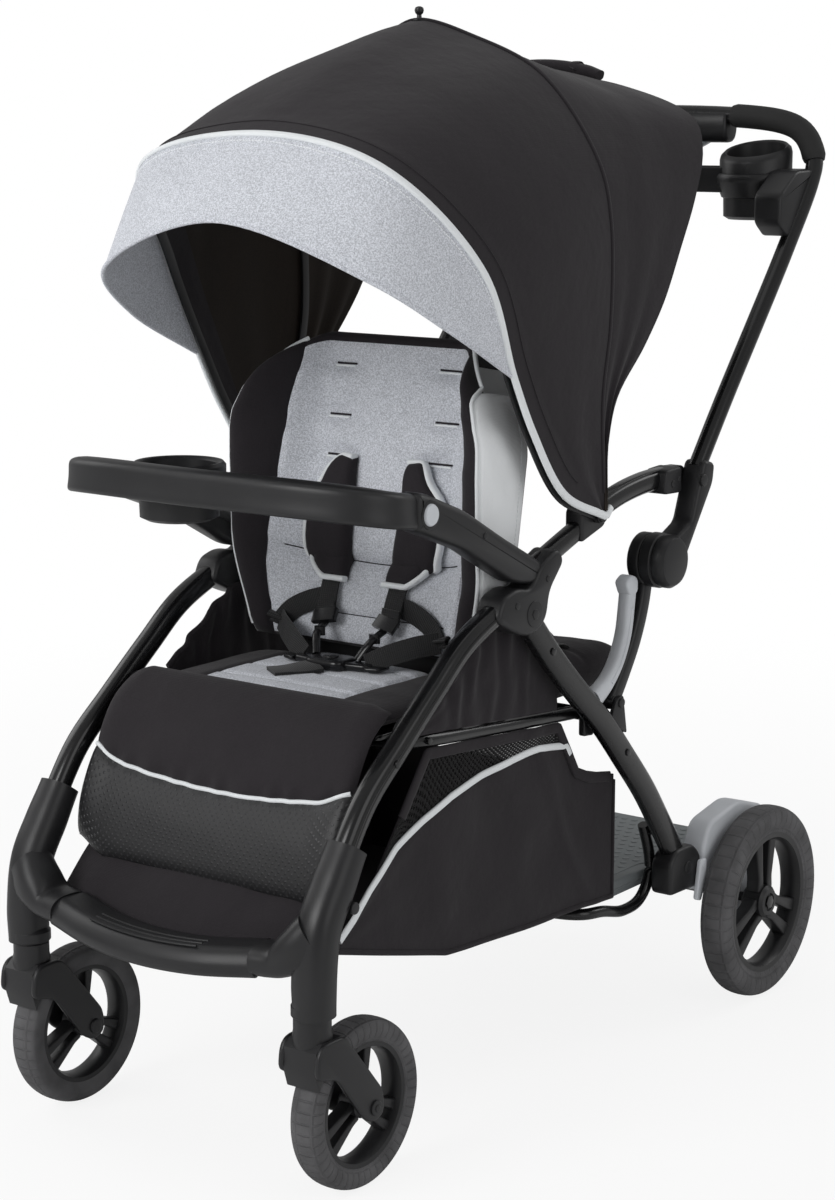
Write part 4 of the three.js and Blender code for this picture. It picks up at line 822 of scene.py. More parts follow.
def rear_bracket():
    size, outer = BRACKET["size"], BRACKET["outer"]
    middle, = placed(REAR_LEG_FOOT, REAR_LEG["depth"], [(-0.25, -0.15)])
    shape = Shape().plate(rounded(placed(middle, (size, size * 0.6), BRACKET_SHARES), size * 0.14),
                          BRACKET["inner"], outer, 5)
    bolt, = placed(REAR_LEG_FOOT, 1, [(-2, -2)])
    shape.rod(bolt, 8, outer - 2, outer + 1.8, 1.2)
    ear = placed(LUG, LUG_SIZE, [(-2.6, -2.4), (-1, 0.6), (0.6, 1), (1.6, -4.4)])
    shape.plate(rounded(ear, LUG_SIZE * 0.5), LUG_OUTER - 5.6, LUG_OUTER, 1.2)
    return shape.rod(LUG, 6, LUG_OUTER - 1, LUG_OUTER + 2, 1)


pair("rear_leg_tube", rear_leg(), black_tube, "rear_frame", "rear_leg_{}")
pair("rear_leg_bracket", rear_bracket(), black_plastic, "rear_frame")

# Handle: tube, elbow sleeve, grips, console, trigger and parent tray

HANDLE = {"x": 222, "tube": 22, "foam": 30, "bend_y": 510, "bend_z": 1048, "bar_y": 507, "bar_z": 1103}
DISC = {"y": 157, "z": 592, "radius": 33, "thick": 34}


def handle_curve(steps=180):
    (y, z), x = HANDLE_PIVOT, HANDLE["x"]
    bend_y, bend_z, bar_y, bar_z = HANDLE["bend_y"], HANDLE["bend_z"], HANDLE["bar_y"], HANDLE["bar_z"]
    right = [(x, y + 9, z + 12), (x, y + 70, z + 89), (x, y + 217, z + 267), (x, bend_y - 10, bend_z - 16),
             (x - 3, bend_y + 2, bend_z + 8), (x - 18, bar_y + 5, bar_z - 16), (x - 50, bar_y, bar_z)]
    return catmull(both_sides(right), steps)


HANDLE_FACING = (0, 0.77, -0.63)
handle_tube = Shape().sweep(handle_curve(), oval(HANDLE["tube"], HANDLE["tube"]), HANDLE_FACING)
piece("push_handle", handle_tube, black_tube, "handle", "handle_tube")


def grip():
    curve = handle_curve(240)
    start = next(i for i, p in enumerate(curve) if p.z > HANDLE["bend_z"] + 2)
    end = next(i for i, p in enumerate(curve) if p.x < CONSOLE["half"])

    def girth(t):
        return 1.0 - 0.12 * (1 - ease(min(t, 1 - t) / 0.03))

    return Shape().sweep(curve[start:end], oval(HANDLE["foam"], HANDLE["foam"], 24), HANDLE_FACING, girth)


CONSOLE = {"half": 101, "depth": 36, "height": 38}
pair("foam_grip", grip(), foam, "handle", "grip_{}")


def handle_sleeve():
    w = SLEEVE["width"]
    r, t, x = DISC["radius"], DISC["thick"], SLEEVE["inner"]
    outline = (placed(HANDLE_PIVOT, w, [(0.35, 1.6), (1.95, 1.2), (1.7, -0.4)])
               + placed((DISC["y"], DISC["z"]), r, [(0.85, -0.1), (0, -0.3), (0, 0.7)])
               + placed(HANDLE_PIVOT, w, [(-1.5, -3.2), (-0.6, -0.8)]))
    shape = Shape().plate(rounded(outline, w * 0.5), SLEEVE["inner"], SLEEVE["outer"], 5)
    profile = [(0.01, x), (r - 2, x), (r, x + 2), (r, x + t * 0.42), (r - 2.4, x + t * 0.46),
               (r - 2.4, x + t * 0.52), (r - 1, x + t * 0.56), (r - 1, x + t * 0.8), (r - 5, x + t * 0.97),
               (r - 9, x + t), (0.01, x + t)]
    shape.lathe(profile, (0, DISC["y"], DISC["z"]), sides=56, closed=False)
    return shape


pair("elbow_sleeve", handle_sleeve(), black_plastic, "handle", "handle_sleeve_{}")

ARM = {"inner": 190.5, "outer": 206.6, "width": 21}
ARM_SHARES = [(0, 0), (0.12, 0.3), (0.36, 0.57), (0.68, 0.8), (1, 1)]


def lower_arm():
    x = (ARM["inner"] + ARM["outer"]) / 2
    places = [(x, y, z) for y, z in between((DISC["y"], DISC["z"]), LUG, ARM_SHARES)]
    shape = Shape().tube(places, ARM["outer"] - ARM["inner"], ARM["width"], 48, power=0.55)
    shape.rod((DISC["y"], DISC["z"]), DISC["radius"] - 1, ARM["inner"], ARM["outer"], 3, 48)
    shape.rod(LUG, 9.5, ARM["inner"], ARM["outer"], 1.5, 24)
    return shape


pair("elbow_arm", lower_arm(), black_plastic, "lower_arms", "lower_arm_{}")

CONSOLE_SHARES = [(-0.5, -0.3), (-0.42, 0.3), (0, 0.47), (0.42, 0.3), (0.5, -0.3), (0.3, -0.72),
                  (-0.3, -0.72)]


def grip_console():
    half, depth, height = CONSOLE["half"], CONSOLE["depth"], CONSOLE["height"]
    y, z = HANDLE["bar_y"], HANDLE["bar_z"]
    outline = rounded(placed((y, z), (depth, height), CONSOLE_SHARES), height * 0.3)
    return Shape().plate(outline, -half, half, 5)


piece("grip_center", grip_console(), black_plastic, "handle", "handle_console")


def fold_trigger():
    y, z = HANDLE["bar_y"], HANDLE["bar_z"]
    half, width, top, drop = 70, 16, 20.4, 37
    outline = rounded([(-half, z - top), (half, z - top), (half, z - drop * 0.72), (half * 0.7, z - drop),
                       (-half * 0.7, z - drop), (-half, z - drop * 0.72)], 5)
    return Shape().plate(outline, y - width / 2, y + width / 2, 3, "y")


piece("squeeze_trigger", fold_trigger(), pale_plastic, "trigger", "fold_trigger")

PARENT_TRAY = {"half": 200, "y": 486, "z": 1030, "height": 32, "depth": 50, "tip": 24}
PARENT_CUP = {"x": 150, "radius": 37, "wall": 3}
CLAMP_PLACES = [(-72, -1.6), (-72, -0.5), (-30, 0.4), (26, 0.45), (-20, -1.5), (-46, -2.2)]


def parent_cups():
    """Both cup wells, each with a collar, tipped up towards the back."""
    y, z, height = PARENT_TRAY["y"], PARENT_TRAY["z"], PARENT_TRAY["height"]
    cup, wall, base = PARENT_CUP["radius"], PARENT_CUP["wall"], z - PARENT_TRAY["depth"]
    outer = cup + wall + 6
    profile = [(0.01, base), (cup * 0.9, base), (cup + wall, base + 4), (cup + wall + 1, z - 8),
               (outer, z - 2), (outer, z + height * 0.62), (outer - 1.5, z + height * 0.74),
               (cup + 3, z + height * 0.85), (cup, z + height * 0.8), (cup - 1, base + wall + 2),
               (cup - 4, base + wall), (0.01, base + wall)]
    collar = [(cup + 2, z - 24), (outer - 3, z - 22), (outer + 4, z - 4), (outer + 5, z + 3),
              (outer + 3, z + 7), (outer - 3, z + 8)]
    shape = Shape()
    for side in (-1, 1):
        shape.lathe(profile, (side * PARENT_CUP["x"], y, 0), "z", 56, closed=False)
        shape.lathe(collar, (side * PARENT_CUP["x"], y, 0), "z", 56)
    for p in shape.places:
        p.z += PARENT_TRAY["tip"] * (p.y - y + outer) / (2 * outer) * ease((p.z - z + 4) / height)
    return shape


def parent_tray():
    y, z, height, half = (PARENT_TRAY[key] for key in ("y", "z", "height", "half"))
    cup_x, cup = PARENT_CUP["x"], PARENT_CUP["radius"]
    outer = cup + PARENT_CUP["wall"] + 6
    low, high, reach = z - height / 2, z + height / 2, outer * 0.72
    shape = parent_cups()
    shape.plate(rounded(box(-cup_x + cup, cup_x - cup, y - reach, y + reach), 6), low, low + 5, 1.5, "z")
    wall_x = cup_x - cup * 0.7
    for back in (y - reach, y + reach):
        shape.plate(rounded(box(-wall_x, wall_x, back - 3, back + 3), 2), low, high, 2, "z")
    for rib_x in (-0.34 * cup_x, 0.34 * cup_x):
        rib = box(rib_x - 2, rib_x + 2, y - outer * 0.7, y + outer * 0.7)
        shape.plate(rib, low + 2, high - 6, 0.8, "z")
    clamp = rounded(placed((y, z), (1, height), CLAMP_PLACES), 9)
    sides = Shape().plate(clamp, half - 12, HANDLE["x"] + 4, 4)
    arm = [(cup_x + cup * 0.6, y - outer * 0.55), (half + 2, y - outer * 0.45), (half + 2, y + outer * 0.5),
           (cup_x + cup * 0.6, y + outer * 0.6)]
    sides.plate(rounded(arm, 6), low, high - 2, 4, "z")
    return shape.join(sides.both())


piece("parent_cup_tray", parent_tray(), black_plastic, "handle", "parent_tray")

# Standing child's grab arms and the rear bench

GRAB = {"x": 205, "width": 18, "depth": 19, "top": (108, 570), "foot": (36, 444)}
GRAB_SHARES = [(0, 0), (0.05, 0.22), (0.14, 0.48), (0.36, 0.72), (0.64, 0.88), (1, 1)]


def grab_arm():
    x, top = GRAB["x"], GRAB["top"]
    places = [(x, y, z) for y, z in between(top, GRAB["foot"], GRAB_SHARES)]

    def girth(t):
        return (1.0, 1.0 + 0.25 * ease((t - 0.7) / 0.3))

    section = oval(GRAB["width"], GRAB["depth"], 24, 0.7)
    shape = Shape().sweep(catmull(places, 48), section, scale=girth)
    half = GRAB["width"] / 2
    hook = placed(top, 1, [(-18, 4), (-4, 12), (9, 6), (9, -12), (-9, -14)])
    shape.plate(rounded(hook, 6), x - half, x + half, 3)
    return shape.tube([(x + half - 0.2, y, z) for x, y, z in places[1:5]], 2.4, 5, 32, sides=10)


pair("grab_lever", grab_arm(), grey_plastic, "rear_frame", "grab_arm_{}")

BENCH = {"half": 166, "front": -34, "rear": 178, "base": 420, "top": 484, "ends": 10}
BENCH_TUBE_HALF, BENCH_TUBE_RADIUS, BENCH_TUBE_PLACE = 193, 8, (50, 420)
BENCH_STRAP = [(118, 96, 478), (124, 84, 490), (128, 58, 496), (126, 30, 492), (120, 16, 480)]


def bench_level(side):
    mid, rise = (BENCH["base"] + BENCH["top"]) / 2, (BENCH["top"] - BENCH["base"]) / 2

    def place(u, v):
        c, d = 2 * u - 1, 2 * v - 1
        edge = max(0.0, (1 - c ** 8) * (1 - d ** 6)) ** 0.5
        seam = 0.0
        if side > 0:
            seam = 7 * bump(abs(c), 0.36, 0.035) + 3 * bump(d, 0.1, 0.04)
            seam += 1.4 * ripple(c * 5, d * 4, 2.0)
        return Vector((BENCH["half"] * c * (1 - 0.03 * d * d), lerp(BENCH["front"], BENCH["rear"], v),
                       mid + side * (rise - seam) * edge + BENCH["ends"] * c * c))
    return place


def lay(place, columns, rows):
    return [[place(i / columns, j / rows) for i in range(columns + 1)] for j in range(rows + 1)]


def cushion(upper, lower, columns, rows):
    """A closed pad between two surfaces that are functions of u and v."""
    shape = Shape()
    top, under = lay(upper, columns, rows), lay(lower, columns, rows)
    shape.grid(top)
    shape.grid(under, flip=True)
    for j in (0, rows):
        shape.grid([top[j], under[j]], flip=j == 0)
    for i in (0, columns):
        shape.grid([[r[i] for r in top], [r[i] for r in under]], flip=i == columns)
    return shape


bench = piece("bench_cushion", cushion(bench_level(1), bench_level(-1), 96, 48), black_fabric, "rear_frame",
              "rear_bench", 70)
bench_tube = Shape().rod(BENCH_TUBE_PLACE, BENCH_TUBE_RADIUS, -BENCH_TUBE_HALF, BENCH_TUBE_HALF, 1)
piece("bench_tube", bench_tube, black_tube, "rear_frame")
bench_straps = Shape().tube(BENCH_STRAP, 26, 2.4, 40, sides=8, power=0.5).both()
piece("bench_straps", bench_straps, webbing, "rear_frame")

# Rear axle, standing platform, wheel guards, brakes and the basket's hoop

DECK = {"half": 189.6, "waist": 168, "top": 190, "thick": 9, "front": 122, "rear": 412, "skirt": 13,
        "neck": 240}
STUD = {"radius": 4.6, "apart": 15.2, "row": 17.2}
AXLE_RADIUS, AXLE_HALF, NUT_RADIUS, NUT_HALF = 6, 262, 9, 1.1
REAR_AXLE = (REAR_WHEEL["y"], REAR_WHEEL["radius"])


def rear_axle():
    shape = Shape().rod(REAR_AXLE, AXLE_RADIUS, -AXLE_HALF, AXLE_HALF, 1)
    for middle in (-AXLE_HALF - 0.9, AXLE_HALF + 0.9):
        shape.rod(REAR_AXLE, NUT_RADIUS, middle - NUT_HALF, middle + NUT_HALF, 0.7, 6)
    return shape


piece("wheel_axle", rear_axle(), black_tube, "rear_frame", "rear_axle")


def deck():
    front, rear, top, under = DECK["front"], DECK["rear"], DECK["top"], DECK["top"] - DECK["thick"]

    def plan(inset):
        waist, half, neck = DECK["waist"] - inset, DECK["half"] - inset, DECK["neck"]
        return [(-waist, front + inset), (waist, front + inset), (waist, neck - 12), (half, neck + inset),
                (half, rear - inset), (-half, rear - inset), (-half, neck + inset), (-waist, neck - 12)]

    shape = Shape().plate(rounded(plan(0), 12), under - DECK["skirt"] * 0.4, top - 1.5, 3, "z")
    shape.plate(rounded(plan(1.5), 12), under - DECK["skirt"], under, 1, "z")
    shape.plate(rounded(plan(14), 10), top - 2, top - 0.6, 0.6, "z")
    for j in range(15):
        y = front + 26 + j * STUD["row"]
        for i in range(21):
            x = (i - 10) * STUD["apart"] + (STUD["apart"] / 2 if j % 2 else 0)
            if abs(x) < DECK["waist"] - 20 and y < rear - 16:
                shape.rod((x, y), STUD["radius"], top - 1, top, 0.5, 12, "z")
    return shape


piece("platform_deck", deck(), deck_plastic, "rear_frame", "standing_platform")

GUARD = {"inner": 188, "outer": 219.6, "front": 271}
GUARD_SHARES = [(-0.66, 0.94), (-0.06, 1.05), (0.5, 0.88), (0.38, 0.4), (0.2, -0.16), (-0.2, -0.16),
                (-0.4, 0.2)]


def wheel_guard():
    (y, z), r = REAR_AXLE, REAR_WHEEL["radius"]
    front = [(GUARD["front"], z + r * 0.22), (GUARD["front"], z + r * 0.66)]
    outline = rounded(front + placed(REAR_AXLE, r, GUARD_SHARES), r * 0.12, 7)
    shape = Shape().plate(outline, GUARD["inner"], GUARD["outer"], 5)
    for k in range(3):
        rivet = (y - r * 0.42 + k * r * 0.3, z + r * 0.7)
        shape.rod(rivet, 3.2, GUARD["inner"] - 0.8, GUARD["inner"] + 1, 0.6, 16)
    return shape


pair("wheel_guard", wheel_guard(), grey_plastic, "rear_frame")

BRAKE = {"y": 262, "z": 192, "thick": 6, "length": 46, "radius": 7, "x": 220.6}


def brake_lever():
    y, z, length, r, inner = (BRAKE[key] for key in ("y", "z", "length", "radius", "x"))
    outer = inner + BRAKE["thick"]
    outline = [(y - r, z + r), (y + r, z + r), (y + r * 1.2, z - length * 0.4), (y - r * 0.6, z - length),
               (y - r * 2.2, z - length * 0.92)]
    shape = Shape().plate(rounded(outline, r * 0.5), inner, outer, 1.6)
    return shape.rod((y, z), 4, outer - 1, outer + 0.6, 0.5, 20)


pair("brake_pedal", brake_lever(), grey_plastic, "brake_{}", "brake_lever_{}")

HOOP_PATH = [(180, 192, 252), (180, 207, 211), (180, 209, 185), (180, 186, 158), (180, 148, 153),
             (180, 100, 164), (173, 68, 167), (145, 54, 167)]
HOOP_WIDTH, HOOP_PIN, PIN_RADIUS = 14, (196, 243), 3.4


def rear_hoop():
    section = oval(HOOP_WIDTH, HOOP_WIDTH, 16)
    shape = Shape().sweep(catmull(both_sides(HOOP_PATH), 150), section, (0.05, 0.05, 1))
    return shape.join(Shape().rod(HOOP_PIN, PIN_RADIUS, 178, 195, 0.6).both())


piece("basket_hoop", rear_hoop(), black_tube, "rear_frame", "rear_hoop")

# Seat frame and backrest board

RAIL = {"x": 180, "radius": 8, "front": (-300, 452), "rear": (30, 425)}
SEAT = {"half": 164, "front": -322, "rear": -130, "base": 465, "top": 491, "board": 7}
EAR_PLACES = [(-140, 452.5), (-128, 472), (-108, 472), (-96, 449.5)]
HINGE = {"y": -118, "z": 462, "rod": 6, "inner": 176.6, "outer": 182.6}


def rail_z(y):
    share = (y - RAIL["front"][0]) / (RAIL["rear"][0] - RAIL["front"][0])
    return lerp(RAIL["front"][1], RAIL["rear"][1], share)


def seat_frame():
    x, (front, front_z), (rear, rear_z) = RAIL["x"], RAIL["front"], RAIL["rear"]
    right = [(x, rear, rear_z), (x, -135, 438.5), (x, -266, 451), (169.8, -289.8, front_z),
             (146, front, front_z), (0, front, front_z)]
    girth = 2 * RAIL["radius"]
    shape = Shape().sweep(catmull(both_sides(right, True), 120), oval(girth, girth, 18), (0, 0, 1))
    ears = Shape().plate(rounded(EAR_PLACES, 8), HINGE["inner"], HINGE["outer"], 1.4)
    ears.rod((HINGE["y"], HINGE["z"]), 5, HINGE["outer"] - 1, HINGE["outer"] + 1.4, 0.8)
    ears.rod((-266, front_z), 4, x - 2, 192.6, 0.8)
    shape.join(ears.both())
    under = SEAT["base"] - 0.4
    board = rounded(box(-SEAT["half"], SEAT["half"], SEAT["front"], SEAT["rear"]), 10)
    return shape.plate(board, under - SEAT["board"], under, 2, "z")


piece("seat_rail", seat_frame(), black_tube, "frame", "seat_frame")

BACK = {"half": 176, "height": 362, "lean": math.radians(10), "lift": 42, "board": 6, "seated": 1.7}


def leaning(x, height, ahead):
    lean = BACK["lean"]
    return Vector((x, HINGE["y"] + height * math.sin(lean) - ahead * math.cos(lean),
                   HINGE["z"] + height * math.cos(lean) + ahead * math.sin(lean)))


def back_board():
    half, height, seated = BACK["half"] * 0.62, BACK["height"], BACK["seated"]
    top, top_half = height * 0.92, half * 0.94
    outline = rounded([(-half, 0), (half, 0), (top_half, top), (-top_half, top)], 24)
    shape = Shape().plate(outline, seated - BACK["board"], seated, 2, "z")
    shape.places = [leaning(p.x, p.y, p.z) for p in shape.places]
    return shape.rod((HINGE["y"], HINGE["z"]), HINGE["rod"], -182, 182, 1)


piece("back_board", back_board(), black_plastic, "backrest", "backrest_board")

# Armrests, tray buttons and the child's tray

SEAM = (-324, 710)
ARM_SHAPE = [(0, 20), (17, 18), (88, -9), (158, -47), (232, -84), (238, -104), (224, -110), (179, -101),
             (88, -52), (12, -24), (0, -20)]
BUTTON_CENTER = (0, SEAM[0] + 21, SEAM[1] - 5)
ARMREST = {"inner": 188, "outer": 220, "button": 12, "well": 8.4, "travel": 3}


def armrest():
    outer = ARMREST["outer"]
    outline = rounded(placed((SEAM[0] + 0.4, SEAM[1]), 1, ARM_SHAPE), 14, 7)
    shape = Shape().plate(outline, ARMREST["inner"], outer - 0.4, 8)
    ring = [(12.2, 219.2), (12.6, 220.4), (15.2, 220.2), (16, 218.6), (15, 217), (12.2, 217)]
    shape.lathe(ring, BUTTON_CENTER, sides=40)
    return shape.rod((SEAM[0] + 120, SEAM[1] - 40), 3.8, outer - 1.4, outer + 0.4, 0.6, 20)


pair("arm_rest", armrest(), black_plastic, "frame", "armrest_{}")


def tray_button():
    face = ARMREST["outer"] + ARMREST["travel"]
    foot, r = face - ARMREST["well"] + 0.4, ARMREST["button"]
    profile = [(0.01, foot), (r - 1, foot), (r, foot + 1), (r, face - 2.4), (r - 1.2, face - 0.6),
               (r * 0.5, face), (0.01, face)]
    return Shape().lathe(profile, BUTTON_CENTER, sides=40, closed=False)


pair("tray_release", tray_button(), grey_plastic, "button_{}", "tray_button_{}")

TRAY = {"half": 216, "front": -428, "lift": 18}
CHILD_CUP = {"x": -100, "y": -336, "radius": 42, "wall": 3, "depth": 62, "ring": 52}
TRAY_SECTION = [(-19, -15), (-2, -12.5), (15, -12), (19, -4), (19, 13), (-19, 16.5)]
PEG = {"inner": 192, "outer": 208, "half": 8, "back": 14, "reach": 12}


def tray_band():
    (seam_y, seam_z), half, front, lift = SEAM, TRAY["half"], TRAY["front"], TRAY["lift"]
    right = [(half - 12, seam_y - 0.4, seam_z), (half - 5, seam_y - 40, seam_z + lift * 0.4),
             (half - 22, front + 34, seam_z + lift * 0.75), (half - 80, front + 12, seam_z + lift),
             (0, front + 8, seam_z + lift)]
    return Shape().sweep(catmull(both_sides(right, True), 160), rounded(TRAY_SECTION, 6, 4), (0, 0, 1))


def child_tray():
    (seam_y, seam_z), half, front, lift = SEAM, TRAY["half"], TRAY["front"], TRAY["lift"]
    x, y, r, ring, wall = (CHILD_CUP[key] for key in ("x", "y", "radius", "ring", "wall"))
    web = seam_z + lift * 0.6
    shape = tray_band()
    dish = rounded([(-half + 28, front + 40), (-half + 70, front + 16), (half - 70, front + 16),
                    (half - 28, front + 40), (half - 60, seam_y + 6), (x + 2 * ring, seam_y + 2),
                    (x + ring * 1.02, seam_y + 30), (x - ring * 1.02, seam_y + 30),
                    (-half + 50, seam_y + 2)], 16, 7)
    near = x + ring * 0.9
    middle = [p for p in dish if p[0] > near]
    shape.plate(middle + [(near, seam_y + 8), (near, front + 18)], web - 3, web + 3, 1.5, "z")
    low = web - CHILD_CUP["depth"] * 0.75
    profile = [(0.01, low), (r - 6, low), (r + wall - 1, low + 4), (r + wall, web - 8), (ring - 2, web - 4),
               (ring, web), (ring, web + lift * 0.8), (ring - 3, web + lift), (r + 3, web + lift * 0.96),
               (r, web + lift * 0.8), (r - 1, low + wall + 3), (r - 5, low + wall), (0.01, low + wall)]
    shape.lathe(profile, (x, y, 0), "z", 72, closed=False)
    side_dish = rounded([(-half + 24, front + 44), (-half + 60, front + 20), (x - ring * 0.7, front + 20),
                         (x - ring * 0.9, seam_y + 2), (-half + 34, seam_y - 14)], 10)
    shape.plate(side_dish, web - 3, web + 4, 1.5, "z")
    for x0, x1 in ((x + ring * 0.55, x + ring), (x - ring, x - ring * 0.55)):
        filler = [(x0, front + 18), (x1, front + 18), (x1, y - r * 0.9), (x0, y - r * 0.98)]
        shape.plate(filler, web - 3, web + 3, 0.8, "z")
    peg = box(seam_y - PEG["back"], seam_y + PEG["reach"], seam_z - PEG["half"], seam_z + PEG["half"])
    return shape.join(Shape().plate(rounded(peg, 2), PEG["inner"], PEG["outer"], 1.2).both())


piece("snack_tray", child_tray(), black_plastic, "tray", "child_tray")

# Sheets and edges


def facing(net_rows, j, i):
    """The unit normal of a laid grid, towards u cross v."""
    rows, columns = len(net_rows), len(net_rows[0])
    du = net_rows[j][min(i + 1, columns - 1)] - net_rows[j][max(i - 1, 0)]
    dv = net_rows[min(j + 1, rows - 1)][i] - net_rows[max(j - 1, 0)][i]
    return du.cross(dv).normalized()


def sheet(place, columns, rows, thick, front=0, back=0, size=(1.0, 1.0), shape=None):
    """Cloth with two faces: place gives the face towards u cross v, and thick goes behind it."""
    shape = shape or Shape()
    outer = lay(place, columns, rows)
    inner = [[p - facing(outer, j, i) * thick for i, p in enumerate(row)] for j, row in enumerate(outer)]

    def uvs(r, c):
        return c / columns * size[0], r / rows * size[1]

    shape.grid(outer, front, uvs=uvs)
    shape.grid(inner, back, flip=True, uvs=uvs)
    for j in (0, rows):
        shape.grid([outer[j], inner[j]], flip=j == 0)
    for i in (0, columns):
        shape.grid([[r[i] for r in outer], [r[i] for r in inner]], flip=i == columns)
    return shape


def on(curve, t):
    k = min(max(t, 0.0), 1.0) * (len(curve) - 1)
    i = min(int(k), len(curve) - 2)
    return curve[i].lerp(curve[i + 1], k - i)


def stitches(path, gap=4.6, length=3.0, radius=0.45):
    """Short thread stitches along a path."""
    total = sum((b - a).length for a, b in zip(path, path[1:]))
    section = oval(2 * radius, 2 * radius, 6)
    shape = Shape()
    for k in range(int(total / gap)):
        a, b = on(path, k * gap / total), on(path, (k * gap + length) / total)
        side = (0, 0, 1) if abs((b - a).normalized().z) < 0.9 else (1, 0, 0)
        shape.sweep([a, (a + b) / 2, b], section, side)
    return shape


# Canopy: hoops as shares of its half width and rise, from the pivot

FRONT_HOOP = [(1, 0, 0), (1, -0.153, 0.063), (1, -0.263, 0.196), (1, -0.331, 0.311), (1, -0.439, 0.522),
              (0.735, -0.61, 0.716), (0, -0.624, 0.775)]
BRIM_HEM = [(1, -0.331, 0.311), (1, -0.536, 0.412), (0.825, -0.689, 0.511), (0, -0.741, 0.615)]
BRIM_SEAM = [(1, -0.331, 0.311), (1, -0.439, 0.522), (0.735, -0.61, 0.716), (0, -0.624, 0.775)]
MID_HOOP = [(1, 0, 0), (1, -0.013, 0.241), (1, 0.013, 0.403), (1, 0.007, 0.606), (0.965, -0.02, 0.72),
            (0.68, -0.049, 0.888), (0.27, -0.068, 0.968), (0, -0.095, 1)]
REAR_HOOP = [(1, 0, 0.034), (1, 0.009, 0.135), (1, 0.04, 0.236), (1, 0.146, 0.34), (1, 0.221, 0.428),
             (1, 0.281, 0.531), (1, 0.339, 0.64), (0.985, 0.375, 0.735), (0.9, 0.396, 0.8),
             (0.45, 0.414, 0.868), (0, 0.422, 0.892)]
HEM_WIDTH = 30


def hoop(shares, half, inset=0.0, steps=240):
    rise = CANOPY["rise"] - inset
    right = [(sx * half, CANOPY["y"] + sy * rise, CANOPY["z"] + sz * rise) for sx, sy, sz in shares]
    return catmull(both_sides(right, True), steps)


OUTER = CANOPY["half"] + CANOPY["cloth"]
front_curve, mid_curve, rear_curve = (hoop(s, OUTER) for s in (FRONT_HOOP, MID_HOOP, REAR_HOOP))
hem_curve, seam_curve = hoop(BRIM_HEM, OUTER), hoop(BRIM_SEAM, OUTER)
TENSION = ((0.60, 3.6), (0.68, 4.4), (0.77, 3.2), (0.87, 2.2))


def canopy_front_place(u, v):
    first, second = on(front_curve, 1 - u), on(mid_curve, 1 - u)
    span = (second - first).length
    p = first.lerp(second, v)
    out = (p - Vector((0, CANOPY["y"], CANOPY["z"] + 120))).normalized()
    lift = 0.9 * (1 - ease((v * span - HEM_WIDTH) / 2.5))
    lift += 15 * math.sin(math.pi * v) * math.sin(math.pi * u) ** 1.5
    for low_u, height in TENSION:
        line = lerp(1 - low_u, 0.5, v ** 0.85)
        lift += height * math.sin(math.pi * min(v * 1.05, 1.0)) * bump(u, line, 0.012 + 0.022 * (1 - v))
    lift += 1.6 * ripple(u * 7, v * 4, 3.1) * math.sin(math.pi * v)
    lift += 1.2 * math.sin(math.pi * v) * abs(2 * u - 1) ** 2 * math.sin(9 * v + 5 * u)
    return p + out * lift


def canopy_rear_place(u, v):
    first, second = on(mid_curve, 1 - u), on(rear_curve, 1 - u)
    p = first.lerp(second, v)
    out = (p - Vector((0, CANOPY["y"] + 60, CANOPY["z"] + 150))).normalized()
    droop = 6 * math.sin(math.pi * v) * math.sin(math.pi * u)
    side = abs(2 * u - 1) ** 1.5
    lift = 3.2 * side * math.sin(math.pi * v) * math.sin(2.6 * math.tau * v + 1.4 * ripple(u * 3, v * 2, 7.0))
    lift += 2.2 * ripple(u * 6, v * 5, 9.4) * math.sin(math.pi * v)
    return p - Vector((0, 0, droop)) + out * lift


def brim_place(u, v):
    first, second = on(hem_curve, 1 - u), on(seam_curve, 1 - u)
    swell = 6 * math.sin(math.pi * v) * math.sin(math.pi * u)
    swell += 0.9 * ripple(u * 6, v * 2, 5.2) * math.sin(math.pi * v)
    return first.lerp(second, v) + Vector((0, 0, swell))


# Places where the canopy's cloths begin and end, in metres

FOLD_START, FOLD_END = (0.0, 0.0014, 0.9), (0.0, -0.1638, 0.8844)
BACK_START, BACK_END = (0.0, 0.2142, 0.9201), (0.0, 0.0301, 0.9027)


def with_front(made):
    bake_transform(made)
    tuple(FOLD_START)
    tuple(FOLD_END)
    return made


def with_rear(made):
    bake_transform(made)
    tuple(BACK_START)
    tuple(BACK_END)
    return made


def along(place, v, low, high, steps, lift):
    """A line across a surface at v, raised from it."""
    grid_row = [place(lerp(low, high, i / steps), v) for i in range(steps + 1)]
    near = [place(lerp(low, high, i / steps), min(v + 0.02, 1.0)) for i in range(steps + 1)]
    raised = []
    for i, p in enumerate(grid_row):
        du = grid_row[min(i + 1, steps)] - grid_row[max(i - 1, 0)]
        raised.append(p + du.cross(near[i] - p).normalized() * lift)
    return raised


cloth_slots = [black_fabric, lining]
front_cloth = sheet(lambda u, v: canopy_front_place(u, lerp(0.005, 0.988, v)), 120, 44, CANOPY["cloth"],
                    back=lambda j, i: 0 if j < 9 else 1)
canopy_front = with_front(piece("canopy_front_cloth", front_cloth, cloth_slots, None, "canopy_front",
                                50))
rear_cloth = sheet(lambda u, v: canopy_rear_place(u, lerp(0.012, 1.0, v)), 120, 44, CANOPY["cloth"], back=1)
canopy_rear = with_rear(piece("canopy_rear_cloth", rear_cloth, cloth_slots, None, "canopy_rear",
                              50))
brim_cloth = sheet(lambda u, v: brim_place(u, lerp(0.0, 0.99, v)), 120, 22, CANOPY["cloth"])
brim_cloth.sweep([p + Vector((0, 0.6, 0.3)) for p in hem_curve[2:-2]], oval(4.6, 4.6, 12), (0, 0, 1))
brim = piece("canopy_brim_cloth", brim_cloth, grey_fabric, "canopy_front_bow", "canopy_brim",
             50)


